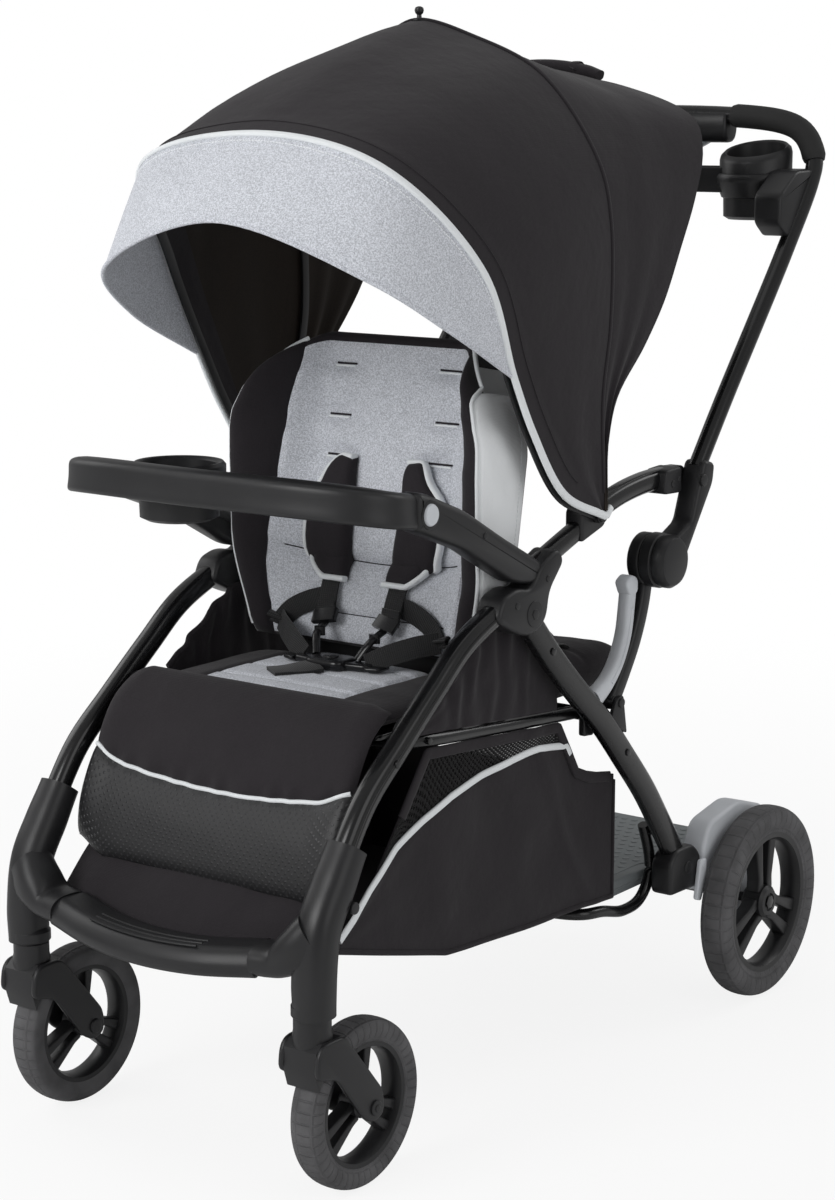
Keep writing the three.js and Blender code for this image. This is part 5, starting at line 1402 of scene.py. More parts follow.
def canopy_edge():
    """The front cloth's edge from hook to hook."""
    y, z = CANOPY["y"], CANOPY["z"]
    hook = [Vector((OUTER, y + 14, z + 9)), Vector((OUTER, y + 6, z + 0.5))]
    return even(hook + front_curve + [Vector((-p.x, p.y, p.z)) for p in reversed(hook)], 260)


def edge_band(path, width, thick, inner):
    """A flat binding folded over an edge that faces away from the canopy's middle."""
    rows = []
    section = oval(width, thick, 14, 0.75)
    count = len(path)
    for i, p in enumerate(path):
        tangent = (path[min(i + 1, count - 1)] - path[max(i - 1, 0)]).normalized()
        inward = on(mid_curve, i / (count - 1)) - p
        inward = inward - tangent * inward.dot(tangent)
        if inward.length < 1e-3:
            inward = Vector((0, 1, 0))
        inward.normalize()
        normal = tangent.cross(inward)
        rows.append([p + inward * (u + inner) + normal * w for u, w in section])
    return Shape().grid(rows, wrap=True).cap(rows)


def hem_seam():
    """The stitched line at the hem's width behind the front edge."""
    middle = Vector((0, CANOPY["y"], 780))
    line = []
    for k in range(12, 189):
        u = k / 200
        span = (on(mid_curve, 1 - u) - on(front_curve, 1 - u)).length
        p = canopy_front_place(u, min((HEM_WIDTH - 4) / span, 0.98))
        line.append(p + (p - middle).normalized() * 0.3)
    return Shape().sweep(line, oval(1.6, 1.6, 8), (0, 1, 0))


def ridge_seam():
    line = [on(mid_curve, 1 - lerp(0.02, 0.98, k / 200)) + Vector((0, 0, 0.4)) for k in range(201)]
    return Shape().sweep(line, oval(6.4, 3.6, 12, 0.8), (0, 1, 0))


binding = edge_band(canopy_edge(), 9.5, 5.4, 1.0)
with_front(piece("canopy_binding", binding, piping, None, sharp=60))
with_front(piece("canopy_hem_seam", hem_seam(), black_fabric, None))
piece("canopy_ridge_seam", ridge_seam(), black_fabric, "canopy_middle", sharp=60)
brim_stitches = stitches(along(brim_place, 0.9, 0.02, 0.98, 260, 0.2), 4.2, 2.8, 0.42)
piece("brim_top_stitch", brim_stitches, side_fabric, "canopy_front_bow")


def bow(shares, inner):
    half = inner + CANOPY["strip"] / 2
    inset = CANOPY["half"] - half + CANOPY["cloth"] + CANOPY["strip"]
    half_bow, half_strip = CANOPY["bow"] / 2, CANOPY["strip"] / 2
    section = rounded(box(-half_bow, half_bow, -half_strip, half_strip), 1, 2)
    shape = Shape().sweep(hoop(shares, half, inset, 160), section, (0, 1, 0))
    eyes = Shape().rod((CANOPY["y"], CANOPY["z"]), CANOPY["bow"] * 0.7, inner, inner + CANOPY["strip"], 0.8)
    return shape.join(eyes.both())


FRONT_BOW_INNER, MID_BOW_INNER = 213.8, 217.8
piece("front_bow_strip", bow(FRONT_HOOP, FRONT_BOW_INNER), black_plastic, "canopy_front_bow", "front_bow")
piece("mid_bow_strip", bow(MID_HOOP, MID_BOW_INNER), black_plastic, "canopy_middle", "mid_bow")

KNOB_PROFILE = [(0.01, 1215), (7, 1215.5), (7.5, 1217), (3, 1219), (2.6, 1223), (4.5, 1225), (5.4, 1228),
                (4.6, 1231), (2, 1232.4), (0.01, 1232.6)]
KNOB_CENTER = (0, CANOPY["y"] + MID_HOOP[-1][1] * CANOPY["rise"], 0)
canopy_knob = Shape().lathe(KNOB_PROFILE, KNOB_CENTER, "z", 32, closed=False)
piece("canopy_knob", canopy_knob, black_plastic, "canopy_middle")


def rolled_curtain():
    """The rear window's curtain, rolled up and held by two loops."""
    roll = [Vector((x, 214 + 4 * math.cos(x / 60), 1170 - 0.0016 * x * x)) for x in range(-88, 89, 4)]

    def girth(t):
        return 0.8 + 0.2 * ease(min(t, 1 - t) / 0.12)

    shape = Shape().sweep(roll, oval(15, 19, 18, 0.8), (0, 0, 1), girth)
    for strap_x in (-52, 52):
        ring = []
        for k in range(25):
            turn = k * math.tau / 24
            y, z = 217.4 + 9 * math.cos(turn), 1165.6 + 8.2 * math.sin(turn)
            ring.append(Vector((strap_x + 0.1 * k, y, z)))
        shape.sweep(ring, oval(2, 12, 10, 0.6), (0, 0.02, 1))
    return shape


with_rear(piece("rolled_curtain", rolled_curtain(), black_fabric, None, sharp=60))

# Backrest: a dished grey panel between black padded wings, with pale outer sides

PANEL_SLOTS = ((0.605, 0.42), (0.735, 0.44), (0.9, 0.46))
UPPER_SEAM, UPPER_DIP, LOWER_SEAM = 0.27, 0.03, 0.1
SIDE_STRIP = 0.04
WING_AHEAD = [(0, 32), (0.05, 42), (0.33, 72), (0.6, 90), (0.8, 99), (0.92, 95), (1, 84)]


def back_sizes(u, v):
    """Across, height and ahead of a place on the backrest's plain front face."""
    c = 2 * u - 1
    a = abs(c)
    fall = 60 * max(0.0, (a - 0.6) / 0.4) ** 1.6 * v ** 3
    narrow = 1 - 0.1 * ease((v - 0.7) / 0.3) - 0.1 * ease((0.3 - v) / 0.3)
    middle = lerp(26, 13, ease(v / 0.5))
    ahead = lerp(middle, graph(WING_AHEAD, v), ease((a - 0.52) / 0.48) ** 1.1)
    return BACK["half"] * narrow * c, BACK["lift"] + BACK["height"] * v - fall, ahead


def rear_ahead(u):
    return 4.0 - 12.0 * ease((abs(2 * u - 1) - 0.66) / 0.2)


def panel_edge(v):
    return lerp(0.84, 0.75, ease(v * 1.15))


def back_front(u, v):
    x, height, ahead = back_sizes(u, v)
    c = 2 * u - 1
    a, edge = abs(c), panel_edge(v)
    soft = 0.0
    if a < edge:
        middle = max(0.0, 1 - (a / edge) ** 4)
        soft += 8.0 * middle * (1 - 0.5 * bump(v, UPPER_SEAM, 0.05))
        soft -= 6.0 * bump(v, UPPER_SEAM + UPPER_DIP * (a / edge) ** 2, 0.014) * middle
        soft -= 4.0 * bump(v, LOWER_SEAM, 0.012) * middle
        for at, across in PANEL_SLOTS:
            soft -= 9.0 * bump(v, at + 0.004, 0.03) * bump(a, across, 0.16)
            soft += 3.0 * bump(v, at - 0.055, 0.03) * bump(a, across, 0.12)
        soft += 1.5 * ripple(c * 5, v * 8, 1.0)
    else:
        share = (a - edge) / (1 - edge)
        soft += 7.5 * math.sin(math.pi * min(share, 1.0)) ** 0.8
        soft += 2.2 * ripple(c * 3, v * 7, 4.0) * math.sin(math.pi * share)
        soft -= 2.4 * (1 - share) * bump(math.sin(v * 30 + c), 1.0, 0.5)
    soft -= 4.5 * bump(a, edge, 0.014)
    rim = max(0.0, (1 - abs(2 * v - 1) ** 24)) ** 0.5
    return leaning(x, height, lerp(lerp(10.0, ahead, 0.75), ahead + soft, rim))


def back_side(side):
    def place(w, v):
        front = back_front(1.0, v)
        rear = leaning(*back_sizes(1.0, v)[:2], rear_ahead(1.0))
        bulge = 9.0 * math.sin(math.pi * w) ** 0.7 - 3.0 * bump(w, SIDE_STRIP, 0.02)
        bulge += 1.6 * ripple(w * 4, v * 9, 12.0) * math.sin(math.pi * w)
        p = front.lerp(rear, w)
        return Vector((side * (p.x + bulge), p.y, p.z))
    return place


def backrest_shape():
    wing, middle, rows, across = 36, 64, 96, 26
    columns = 2 * wing + middle

    def spread(s, v):
        """The panel's seams lie on columns of the grid."""
        k, edge = s * columns, panel_edge(v)
        if k < wing:
            c = lerp(-1, -edge, k / wing)
        elif k <= wing + middle:
            c = lerp(-edge, edge, (k - wing) / middle)
        else:
            c = lerp(edge, 1, (k - wing - middle) / wing)
        return (c + 1) / 2

    front = lay(lambda s, v: back_front(spread(s, v), v), columns, rows)
    rear = []
    for j in range(rows + 1):
        us = [spread(i / columns, j / rows) for i in range(columns + 1)]
        rear.append([leaning(*back_sizes(u, j / rows)[:2], rear_ahead(u)) for u in us])

    def slot(j, i):
        return 0 if wing <= i < wing + middle and 0.015 < (j + 0.5) / rows < 0.972 else 1

    def top_slot(j, i):
        return 2 if min(i, columns - i) < wing * 0.55 else 1

    def side_slot(j, k):
        return 1 if (k + 0.5) / across < SIDE_STRIP or k >= across - 1 else 2

    shape = Shape().grid(front, slot)
    shape.grid(rear, 1, flip=True)
    shape.grid([front[0], rear[0]], 1, flip=True)
    shape.grid([front[rows], rear[rows]], top_slot)
    for side in (1, -1):
        shape.grid(lay(back_side(side), across, rows), side_slot, flip=side < 0)
    return shape


back_pad = piece("backrest_cushion", backrest_shape(), [grey_fabric, black_fabric, side_fabric], "backrest",
                 "backrest_pad", 50)


def wing_piping():
    """Piping along the edges of both wings, with the stitches behind it."""
    shape = Shape()
    for side in (1, -1):
        place = back_side(side)
        proud = Vector((side * 0.8, -0.8, 0))
        line = [place(SIDE_STRIP, lerp(0.03, 0.97, j / 120)) + proud for j in range(121)]
        for j in range(1, 31):
            u = 0.5 + side * lerp(0.497, panel_edge(1.0) / 2, j / 30)
            line.append(back_front(u, 1.0) + Vector((0, 0, 1)))
        shape.sweep(line, oval(5.6, 5.6, 12))
        seam = [place(0.8, lerp(0.08, 0.95, j / 120)) + Vector((side * 0.4, 0, 0)) for j in range(121)]
        shape.join(stitches(seam, 5.0, 3.2, 0.4))
    return shape


piece("wing_piping", wing_piping(), piping, "backrest", sharp=60)


def on_back(x, v, ahead):
    """A place in front of the backrest's face, at x and a share of its height."""
    u = (x / BACK["half"] + 1) / 2
    p, near, up = back_front(u, v), back_front(u + 0.004, v), back_front(u, v + 0.004)
    return p + (near - p).cross(up - p).normalized() * ahead


slits, slit_rims, quilting = Shape(), Shape(), Shape()
SLIT_FACING = (0, -1, 0.2)
for at, across in PANEL_SLOTS:
    for side in (-1, 1):
        middle = side * across * BACK["half"]
        slit = [on_back(middle + k, at, 0.8) for k in range(-16, 17, 4)]
        rim_line = [on_back(middle + k, at - 0.009, 0.8) for k in range(-17, 18, 4)]
        slits.sweep(slit, oval(2.4, 2.4, 10), SLIT_FACING)
        slit_rims.sweep(rim_line, oval(1.8, 2.2, 8), SLIT_FACING)
for height, dip in ((UPPER_SEAM, UPPER_DIP), (LOWER_SEAM, 0.0)):
    seam = [on_back(x, height + dip * (x / 130) ** 2, 0.4) for x in range(-126, 127, 4)]
    quilting.sweep(seam, oval(1.5, 1.2, 8), (0, 0, 1))
piece("panel_quilting", quilting, black_fabric, "backrest")
piece("panel_slits", slits, black_fabric, "backrest")
piece("panel_slit_rims", slit_rims, piping, "backrest")

# Harness

PAD = {"inner": 29, "spread": 10, "low": 0.205, "high": 0.6, "thick": 15}


def pad_width(v):
    """Narrow at the foot, widest a third of the way up, and drawn in to its top."""
    if v < 0.35:
        return lerp(32, 66, math.sin(math.pi / 2 * v / 0.35) ** 0.8)
    return 14 + 52 * math.cos(math.pi / 2 * ((v - 0.35) / 0.65) ** 1.4)


def shoulder_pad():
    def face(thick, base):
        def place(s, v):
            c, d = 2 * s - 1, 2 * v - 1
            soft = max(0.0, (1 - c ** 6) * (1 - d ** 10)) ** 0.5
            x = PAD["inner"] + PAD["spread"] * v + s * pad_width(v)
            return on_back(x, lerp(PAD["low"], PAD["high"], v), base + thick * soft)
        return place
    return cushion(face(PAD["thick"], 3.5), face(0, 2.5), 20, 40)


def pad_binding():
    inner, spread = PAD["inner"], PAD["spread"]
    path = [(inner + spread + pad_width(1.0) * k / 4, 1.0) for k in range(4)]
    path += [(inner + spread * (1 - k / 40) + pad_width(1 - k / 40), 1 - k / 40) for k in range(41)]
    path += [(inner + pad_width(0.0) * (1 - k / 6), 0.0) for k in range(1, 7)]
    curve = even([on_back(x, lerp(PAD["low"], PAD["high"], v), 9.0) for x, v in path], 90)
    return Shape().sweep(curve, oval(11.0, 7.0, 14, 0.8), (0, -1, 0.15))


for made in pair("shoulder_pad", shoulder_pad(), black_fabric, "backrest", "harness_strap_{}", 60):
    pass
pair("shoulder_pad_binding", pad_binding(), piping, "backrest", sharp=60)


def strap_run(path, width, thick, steps=40, side=(1, 0, 0)):
    """Webbing along a path; its uv runs across and along the band in metres."""
    section = rounded(box(-width / 2, width / 2, -thick / 2, thick / 2), 0.8, 2)
    return Shape().sweep(catmull(path, steps), section, side)


WEB_PLACES = ((0.24, 5), (0.19, 7), (0.14, 9), (0.10, 13))
FOLD_PLACES = ((0.135, 12), (0.10, 16), (0.085, 13))
WEB_X, WEB_WIDTH, WEB_THICK, FOLD_THICK = 50, 25, 2.4, 2.2
seat_low = SEAT["top"] + 5
BUCKLE = {"y": -196, "half": 26, "depth": 40, "height": 12}


def harness_webs():
    """The webbing that comes out under each shoulder pad, and its sewn fold."""
    web = strap_run([on_back(WEB_X, v, a) for v, a in WEB_PLACES], WEB_WIDTH, WEB_THICK)
    fold = strap_run([on_back(WEB_X, v, a) for v, a in FOLD_PLACES], WEB_WIDTH, FOLD_THICK, 16)
    return web.join(fold).both()


def harness_hooks():
    """The plastic hooks from the webbing down to the buckle."""
    top = on_back(WEB_X, *WEB_PLACES[-1])
    end = Vector((30, BUCKLE["y"] + 10, seat_low + 10))
    head = [top + Vector((0, -1, 6)), top.lerp(end, 0.22) + Vector((0, -2, 2))]
    shape = Shape().sweep(catmull(head, 8), rounded(box(-16, 16, -4, 4), 3, 3))
    stem = [top.lerp(end, 0.2), top.lerp(end, 0.55) + Vector((2, -5, 3)), end]
    shape.tube(stem, 10, 6.5, 24, sides=14, power=0.8)
    bead = top.lerp(end, 0.45) + Vector((1, -3, 2))
    half = Vector((0, 0, 5))
    return shape.sweep([bead + half, bead, bead - half], oval(15, 8, 14)).both()


def with_back(made):
    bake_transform(made)
    return made


with_back(piece("harness_webbing", harness_webs(), webbing, None))
with_back(piece("harness_hooks", harness_hooks(), gloss_plastic, None))


def buckle():
    y, half, depth, z = BUCKLE["y"], BUCKLE["half"], BUCKLE["depth"], seat_low
    core = rounded(box(-half, half, y - depth / 2, y + depth / 2), 12)
    shape = Shape().plate(core, z, z + BUCKLE["height"], 4, "z")
    shape.rod((0, y), 9, z + BUCKLE["height"] - 1, z + BUCKLE["height"] + 2, 1.2, 28, "z")
    prong = rounded([(half - 6, y - 9), (half + 26, y - 4), (half + 30, y + 14), (half - 6, y + 12)], 6)
    slider = rounded([(half + 26, y - 8), (half + 44, y - 2), (half + 44, y + 20), (half + 26, y + 16)], 4)
    wings = Shape().plate(prong, z + 1, z + 9, 3, "z").plate(slider, z + 2, z + 7, 2, "z").both()
    return shape.join(wings)


piece("harness_buckle", buckle(), gloss_plastic, "frame", "waist_belt")


def waist_webs():
    """Waist belts, slings and their anchor loops on both sides, and the crotch strap."""
    anchor = on_back(128, 0.055, 4)
    end = Vector((BUCKLE["half"] + 20, BUCKLE["y"] + 6, seat_low + 7))
    belt = [anchor, anchor.lerp(end, 0.3) + Vector((0, -4, 3)), anchor.lerp(end, 0.7) + Vector((0, -3, 3)),
            end]
    shape = strap_run(belt, WEB_WIDTH, WEB_THICK, 40, (0.2, 0.5, 1))
    sling = [on_back(x, v, 5.0) for x, v in ((131, 0.04), (112, 0.085), (84, 0.125), (52, 0.15))]
    shape.join(strap_run(sling, WEB_WIDTH, WEB_THICK, 40, (0.3, 0, 1)))
    loop = [anchor + Vector((2, -3 + 5 * math.cos(k), 5 * math.sin(k))) for k in (2.6, 1.6, 0.6, -0.4, -1.4)]
    shape.join(strap_run(loop, WEB_WIDTH, FOLD_THICK, 20, (1, 0.1, 0.4))).both()
    crotch = [(-4, -214, seat_low + 4), (-18, -238, seat_low + 2), (-34, -262, seat_low + 1.5)]
    return shape.join(strap_run(crotch, 34, 5, 24, (1, 0.5, 0)))


with_back(piece("waist_webbing", waist_webs(), webbing, None))

# Seat cushion, calf pad and apron

SEAT_GREY, SEAT_SEAMS = 0.6, (0.22, 0.5, 0.78)
SEAT_COLUMNS, SEAT_ROWS = 100, 56


def seat_level(side):
    mid = (SEAT["base"] + SEAT["top"]) / 2

    def place(u, v):
        c, d = 2 * u - 1, 2 * v - 1
        soft = max(0.0, (1 - c ** 8) * (1 - d ** 10)) ** 0.5
        y = lerp(SEAT["front"], SEAT["rear"], v)
        rise = (SEAT["top"] - mid) if side > 0 else (mid - SEAT["base"])
        if side > 0:
            rise += 5 * (1 - c * c) - 3.5 * bump(abs(c), SEAT_GREY, 0.02)
            if abs(c) < SEAT_GREY:
                rise -= 2.8 * sum(bump(v, seam, 0.02) for seam in SEAT_SEAMS)
            rise += 1.2 * ripple(c * 4, v * 4, 8.0)
        return Vector((SEAT["half"] * c, y, mid + side * rise * soft))
    return place


def seat_slot(j, i):
    c, v = 2 * (i + 0.5) / SEAT_COLUMNS - 1, (j + 0.5) / SEAT_ROWS
    return 1 if abs(c) < SEAT_GREY and v > 0.05 else 0


seat_shape = Shape().grid(lay(seat_level(1), SEAT_COLUMNS, SEAT_ROWS), seat_slot)
seat_shape.grid(lay(seat_level(-1), SEAT_COLUMNS, SEAT_ROWS), flip=True)
seat_pad = piece("seat_cushion", seat_shape, [black_fabric, grey_fabric], "frame", "seat_pad",
                 60)

CALF = {"half": 181, "thick": 17, "top": (-341, 500), "low": (-424, 297)}


def calf_split(c):
    return 0.52 - 0.08 * c * c


def calf_middle(u, w):
    """Middle surface of the calf pad, w from its top to its foot; half way lies the piping."""
    c = 2 * u - 1
    split = calf_split(c)
    v = w * 2 * split if w < 0.5 else split + (w - 0.5) * 2 * (1 - split)
    low_z = CALF["low"][1] + 20 * ease((abs(c) - 0.76) / 0.24)
    y = lerp(CALF["top"][0], CALF["low"][0], 1 - (1 - v) ** 1.8)
    roll = max(0.0, 1 - v / 0.2) ** 2
    corner = 6 * ease((abs(c) - 0.85) / 0.15) * max(0.0, 1 - v / 0.25)
    tuck = 1 + 0.04 * v - 0.012 * max(0.0, 1 - v / 0.25) ** 2
    return Vector((CALF["half"] * c * tuck, y + CALF["thick"] / 2 + 16 * roll,
                   lerp(CALF["top"][1], low_z, v) - 3 * roll - corner)), v, c


def calf_face(side):
    def place(u, t):
        w = 1 - t
        p, v, c = calf_middle(u, w)
        edge = max(0.0, (1 - c ** 20) * (1 - (2 * w - 1) ** 16)) ** 0.5
        rise = CALF["thick"] / 2
        if side > 0:
            rise += 8.5 * abs(math.sin(2 * math.pi * w)) ** 0.6 * (1 if w > 0.5 else 0.8)
            rise -= 3.0 * bump(w, 0.5, 0.02)
            rise += 2.2 * ripple(c * 3.2, v * 5, 2.2) * (1 if w < 0.5 else 0.5)
            rise += 1.2 * bump(w, 0.47, 0.05) * math.sin(c * 34 + 3 * ripple(c * 4, 1.0))
        up = max(0.0, 1 - v / 0.3)
        return p + Vector((0, -side * rise * edge * (1 - 0.35 * up), side * rise * edge * 0.75 * up))
    return place


CALF_COLUMNS, CALF_ROWS = 110, 96
CALF_WIDE, CALF_LONG = 0.362, 0.21


def calf_slot(j, i):
    return 1 if j < CALF_ROWS / 2 else 0


def calf_uvs(r, c):
    return c / CALF_COLUMNS * CALF_WIDE, r / CALF_ROWS * CALF_LONG


calf_shape = Shape().grid(lay(calf_face(1), CALF_COLUMNS, CALF_ROWS), calf_slot, uvs=calf_uvs)
calf_shape.grid(lay(calf_face(-1), CALF_COLUMNS, CALF_ROWS), flip=True)
calf_pad = piece("calf_cushion", calf_shape, [black_fabric, vinyl], "frame", "calf_pad", 60)
calf_line = [calf_face(1)(0.5 + 0.493 * (2 * k / 120 - 1), 0.5) + Vector((0, -1.2, 0)) for k in range(121)]
calf_piping = Shape().sweep(calf_line, oval(5.4, 5.4, 12), (0, 0, 1))
piece("calf_piping", calf_piping, piping, "frame")
SIDE_KNOB = [(0.01, 187.5), (15, 187.5), (17, 189), (17, 192), (14, 194), (9, 193), (7, 192), (0.01, 192)]
side_knobs = Shape().lathe(SIDE_KNOB, (0, -312, 470), sides=40, closed=False).both()
piece("seat_side_knob", side_knobs, black_plastic, "frame")


def apron_place(u, v):
    c = 2 * u - 1
    hang = 5 * math.sin(math.pi * v) * (1 - c ** 4)
    fold = 2.4 * ripple(c * 3.5, v * 2, 6.0) * math.sin(math.pi * v)
    front = -451 - FOOT_BAR["bow"] * (1 - c * c)
    z = lerp(252, 324, v ** 0.85)
    return Vector((lerp(187, 176, v) * c, lerp(front, -396, v) - fold, z + hang + fold))


apron_cloth = sheet(apron_place, 60, 16, 3.0)
apron = piece("calf_apron", apron_cloth, black_fabric, "frame", sharp=60)

# Side panels with gathered pockets

PANEL_TOP = [(-292, 463), (-262, 486), (-218, 517), (-180, 545), (-146, 563), (-92, 570), (-55, 550),
             (-22, 526), (-14, 500)]
PANEL_X, PANEL_GAP = 187.6, 9.4


def panel_place(u, v):
    y = lerp(PANEL_TOP[0][0], PANEL_TOP[-1][0], u)
    low = rail_z(y) + PANEL_GAP
    high = max(graph(PANEL_TOP, y), low + 1)
    pocket = ease((y + 265) / 40) * (1 - ease((y + 95) / 40))
    wave = pocket * (2.6 * math.sin(u * 52 + 2.5 * ripple(u * 6, v * 2)) * (0.35 + 0.65 * v)
                     + 2.4 * math.sin(math.pi * v))
    wave += 1.4 * ripple(u * 9, v * 4, 3.3)
    return Vector((PANEL_X + wave, y, lerp(low, high, v) - 1.5 * pocket * abs(math.sin(u * 26)) * v))


side_panel = sheet(panel_place, 150, 30, 2.4)
elastic = [panel_place(u, 0.995) + Vector((0.4, 0, -1)) for u in [0.1 + 0.62 * k / 150 for k in range(151)]]
side_panel.sweep(elastic, oval(5.2, 8, 12, 0.8), (1, 0, 0))
for panel in pair("seat_side", side_panel, black_fabric, "frame", "side_panel_{}", 60):
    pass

# Basket: fabric sides with a net front corner, floor, rear and front panels

BASKET_LOW = [(-428, 258), (-344, 234), (-227, 202), (-77, 191), (46, 186), (114, 181)]
BASKET_TAIL = [(31, 356), (60, 344), (104, 336), (114, 334)]
BASKET_TOP = [(-428, 259), (-392, 284), (-352, 322), (-262, 439), (-8, 418), (14, 384)] + BASKET_TAIL
BASKET_PIPE = [(-428, 259), (-392, 284), (-365, 309), (-318, 343), (-270, 363), (-219, 379), (-160, 390),
               (-104, 396), (-50, 399), (9, 390)] + BASKET_TAIL
BASKET_HALF = 184
PIPE_SHARE = 0.7
BASKET_ROWS = 40
BASKET_FLAT = (0.542, 0.2)


def basket_side(u, w):
    y = lerp(BASKET_LOW[0][0], BASKET_LOW[-1][0], u)
    low, pipe, top = graph(BASKET_LOW, y), graph(BASKET_PIPE, y), graph(BASKET_TOP, y)
    pipe = min(pipe, top)
    above = (w - PIPE_SHARE) / (1 - PIPE_SHARE)
    z = lerp(low, pipe, w / PIPE_SHARE) if w < PIPE_SHARE else lerp(pipe, top, above)
    v = (z - low) / max(top - low, 1)
    away = math.sin(math.pi * u) ** 0.4
    belly = -3 * math.sin(math.pi * v) * away
    folds = 2.4 * math.sin(u * 21 + 3 * ripple(u * 4, v * 2, 5.0)) * (1 - v) * v * 3 * away
    folds += 2.0 * ripple(u * 8, v * 5, 2.0) * away + 2.6 * bump(u + 0.25 * v, 0.93, 0.03) * away
    return Vector((BASKET_HALF + 1 + belly + folds, y, z))


def net_slot(j, i):
    return 1 if j >= round(PIPE_SHARE * BASKET_ROWS) else 0


basket_shape = sheet(basket_side, 140, BASKET_ROWS, 2.2, net_slot, net_slot, BASKET_FLAT)
for made in pair("basket_side", basket_shape, [black_fabric, net], "frame", sharp=60):
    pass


def basket_floor(u, v):
    c = 2 * u - 1
    y = lerp(BASKET_LOW[0][0], BASKET_LOW[-1][0], v)
    sag = 7 * (1 - c ** 4) * math.sin(math.pi * v) ** 0.6
    return Vector((BASKET_HALF * c, y, graph(BASKET_LOW, y) - sag + 1.5 * ripple(c * 5, v * 5, 3.0)))


def basket_rear(u, v):
    c, (y, low), high = 2 * u - 1, BASKET_LOW[-1], BASKET_TOP[-1][1]
    wave = 3 * ripple(c * 4, v * 3) * math.sin(math.pi * v)
    return Vector((-BASKET_HALF * c, y + wave, lerp(low, high, v) - 6 * v * (1 - c * c)))


def basket_front(u, v):
    c, (y0, z0), (y1, z1) = 2 * u - 1, BASKET_LOW[0], BASKET_TOP[1]
    return Vector((BASKET_HALF * c, lerp(y0, y1, v), lerp(z0, z1, v) - 3 * v * (1 - c * c)))


shell = sheet(basket_floor, 80, 60, 2.4)
sheet(basket_rear, 80, 24, 2.4, shape=shell)
sheet(basket_front, 60, 6, 2.4, shape=shell)
piece("basket_shell", shell, black_fabric, "frame", "basket", 60)


def basket_line(w, start, span, shift):
    """A line along the basket's side at w, moved by shift."""
    return [basket_side(start + span * k / 160, w) + Vector(shift) for k in range(161)]


basket_trim = Shape().sweep(basket_line(PIPE_SHARE, 0.02, 0.8, (1.2, 0, 0)), oval(4.6, 8.4, 12, 0.8)).both()
piece("basket_piping", basket_trim, piping, "frame", sharp=60)
hems = Shape().sweep(basket_line(1.0, 0.22, 0.76, (0.6, 0, -3)), oval(4.4, 13, 12, 0.7))
hems.sweep(basket_line(0.0, 0.0, 1.0, (0.4, 0, 0)), oval(5, 6, 12))
rear_line = [Vector((BASKET_HALF + 0.6, 113.5, z)) for z in range(183, 333, 6)]
hems.sweep(rear_line, oval(5, 6, 12), (0, 1, 0)).both()
piece("basket_hems", hems, black_fabric, "frame", sharp=60)
clips = Shape().plate(rounded([(38, 396), (58, 394), (58, 418), (38, 420)], 3), 183, 192, 2).both()
piece("basket_clips", clips, black_plastic, "frame")

# Floor, light and finish

FLOOR_REACH, FLOOR_DROP = 12.0, 0.0005
FADE_FROM, FADE_TO = 0.7, 2.6
NEAR_GLOW = 0.86
WORLD_LEVEL = 0.4
LAMPS = (("key", (-0.6, -3.6, 2.3), 2.2, 76.0), ("left", (-3.2, -0.8, 2.4), 2.4, 26.0),
         ("right", (3.2, -0.6, 1.6), 2.6, 20.0), ("rim", (1.6, 3.0, 2.8), 2.0, 22.0),
         ("top", (0.0, 0.2, 3.6), 2.4, 8.0))


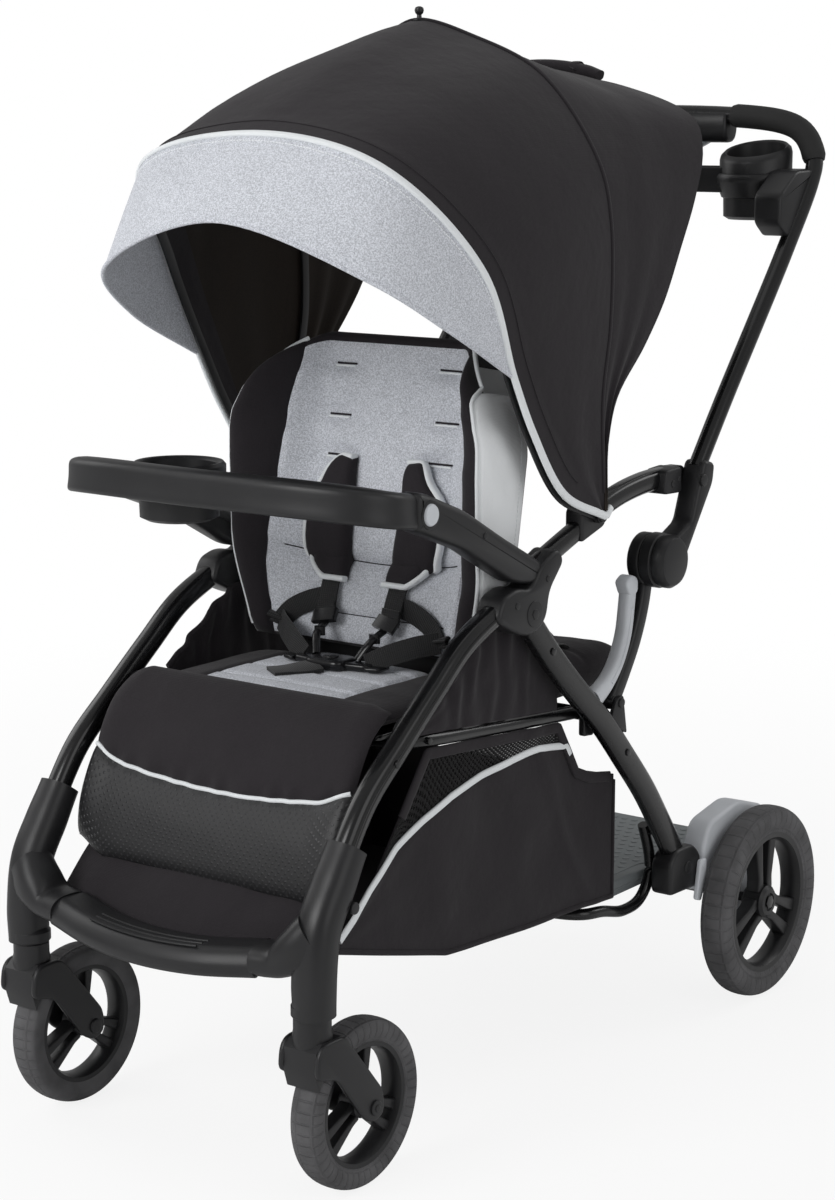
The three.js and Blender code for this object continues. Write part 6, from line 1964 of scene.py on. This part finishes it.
def pale_floor():
    """Pale ground that takes the shadow, and fades to white for the camera alone."""
    m = Nodes("pale_floor")
    where = m.coordinates()
    cloud = m.ramp(m.noise(where, 1.5), [(0.3, 0.86), (0.7, 0.89)])
    m.finish(cloud, None, None, Roughness=0.75, Specular_IOR_Level=0.15)
    away = m.add("ShaderNodeVectorMath", operation="LENGTH")
    m.link(where, away.inputs[0])
    fade = m.add("ShaderNodeMapRange", {"From Min": FADE_FROM, "From Max": FADE_TO},
                 interpolation_type="SMOOTHSTEP")
    m.link(away.outputs["Value"], fade.inputs["Value"])
    path = m.add("ShaderNodeLightPath")
    shown = m.math("MAXIMUM", path.outputs["Is Camera Ray"], path.outputs["Is Transmission Ray"])
    glow = m.add("ShaderNodeEmission", {"Color": (1.0, 1.0, 1.0, 1.0), "Strength": 1.0})
    blend = m.add("ShaderNodeMixShader")
    cover = m.add("ShaderNodeMapRange", {"To Min": NEAR_GLOW, "To Max": 1.0})
    m.link(fade.outputs["Result"], cover.inputs["Value"])
    m.link(m.math("MULTIPLY", cover.outputs["Result"], shown), blend.inputs[0])
    m.link(m.shader.outputs[0], blend.inputs[1])
    m.link(glow.outputs[0], blend.inputs[2])
    m.link(blend.outputs[0], m.tree.nodes["Material Output"].inputs["Surface"])
    return m.material


def ground():
    mesh = bpy.data.meshes.new("floor")
    corners = box(-FLOOR_REACH, FLOOR_REACH, -FLOOR_REACH, FLOOR_REACH)
    mesh.from_pydata([(x, y, 0) for x, y in corners], [], [(0, 1, 2, 3)])
    mesh.materials.append(pale_floor())
    made = bpy.data.objects.new("floor", mesh)
    made.location.z = -FLOOR_DROP
    bpy.context.collection.objects.link(made)


def pale_world():
    """White to the camera, dimmer as a light."""
    world = bpy.data.worlds.new("studio")
    bpy.context.scene.world = world
    world.use_nodes = True
    tree = world.node_tree
    path = tree.nodes.new("ShaderNodeLightPath")
    seen = tree.nodes.new("ShaderNodeMath")
    seen.operation = "MAXIMUM"
    tree.links.new(path.outputs["Is Camera Ray"], seen.inputs[0])
    tree.links.new(path.outputs["Is Transmission Ray"], seen.inputs[1])
    level = tree.nodes.new("ShaderNodeMapRange")
    level.inputs["To Min"].default_value = WORLD_LEVEL
    level.inputs["To Max"].default_value = 1.0
    tree.links.new(seen.outputs[0], level.inputs["Value"])
    background = tree.nodes["Background"]
    background.inputs["Color"].default_value = (1.0, 1.0, 1.0, 1.0)
    tree.links.new(level.outputs["Result"], background.inputs["Strength"])


def lamp(name, place, size, power):
    data = bpy.data.lights.new(name, "AREA")
    data.shape = "DISK"
    data.size, data.energy = size, power
    made = bpy.data.objects.new(name, data)
    made.location = place
    made.rotation_mode = "QUATERNION"
    made.rotation_quaternion = (PHOTO_TARGET - Vector(place)).to_track_quat("-Z", "Y")
    bpy.context.collection.objects.link(made)


ground()
pale_world()
for settings in LAMPS:
    lamp(*settings)
bpy.context.scene.view_settings.view_transform = "Standard"
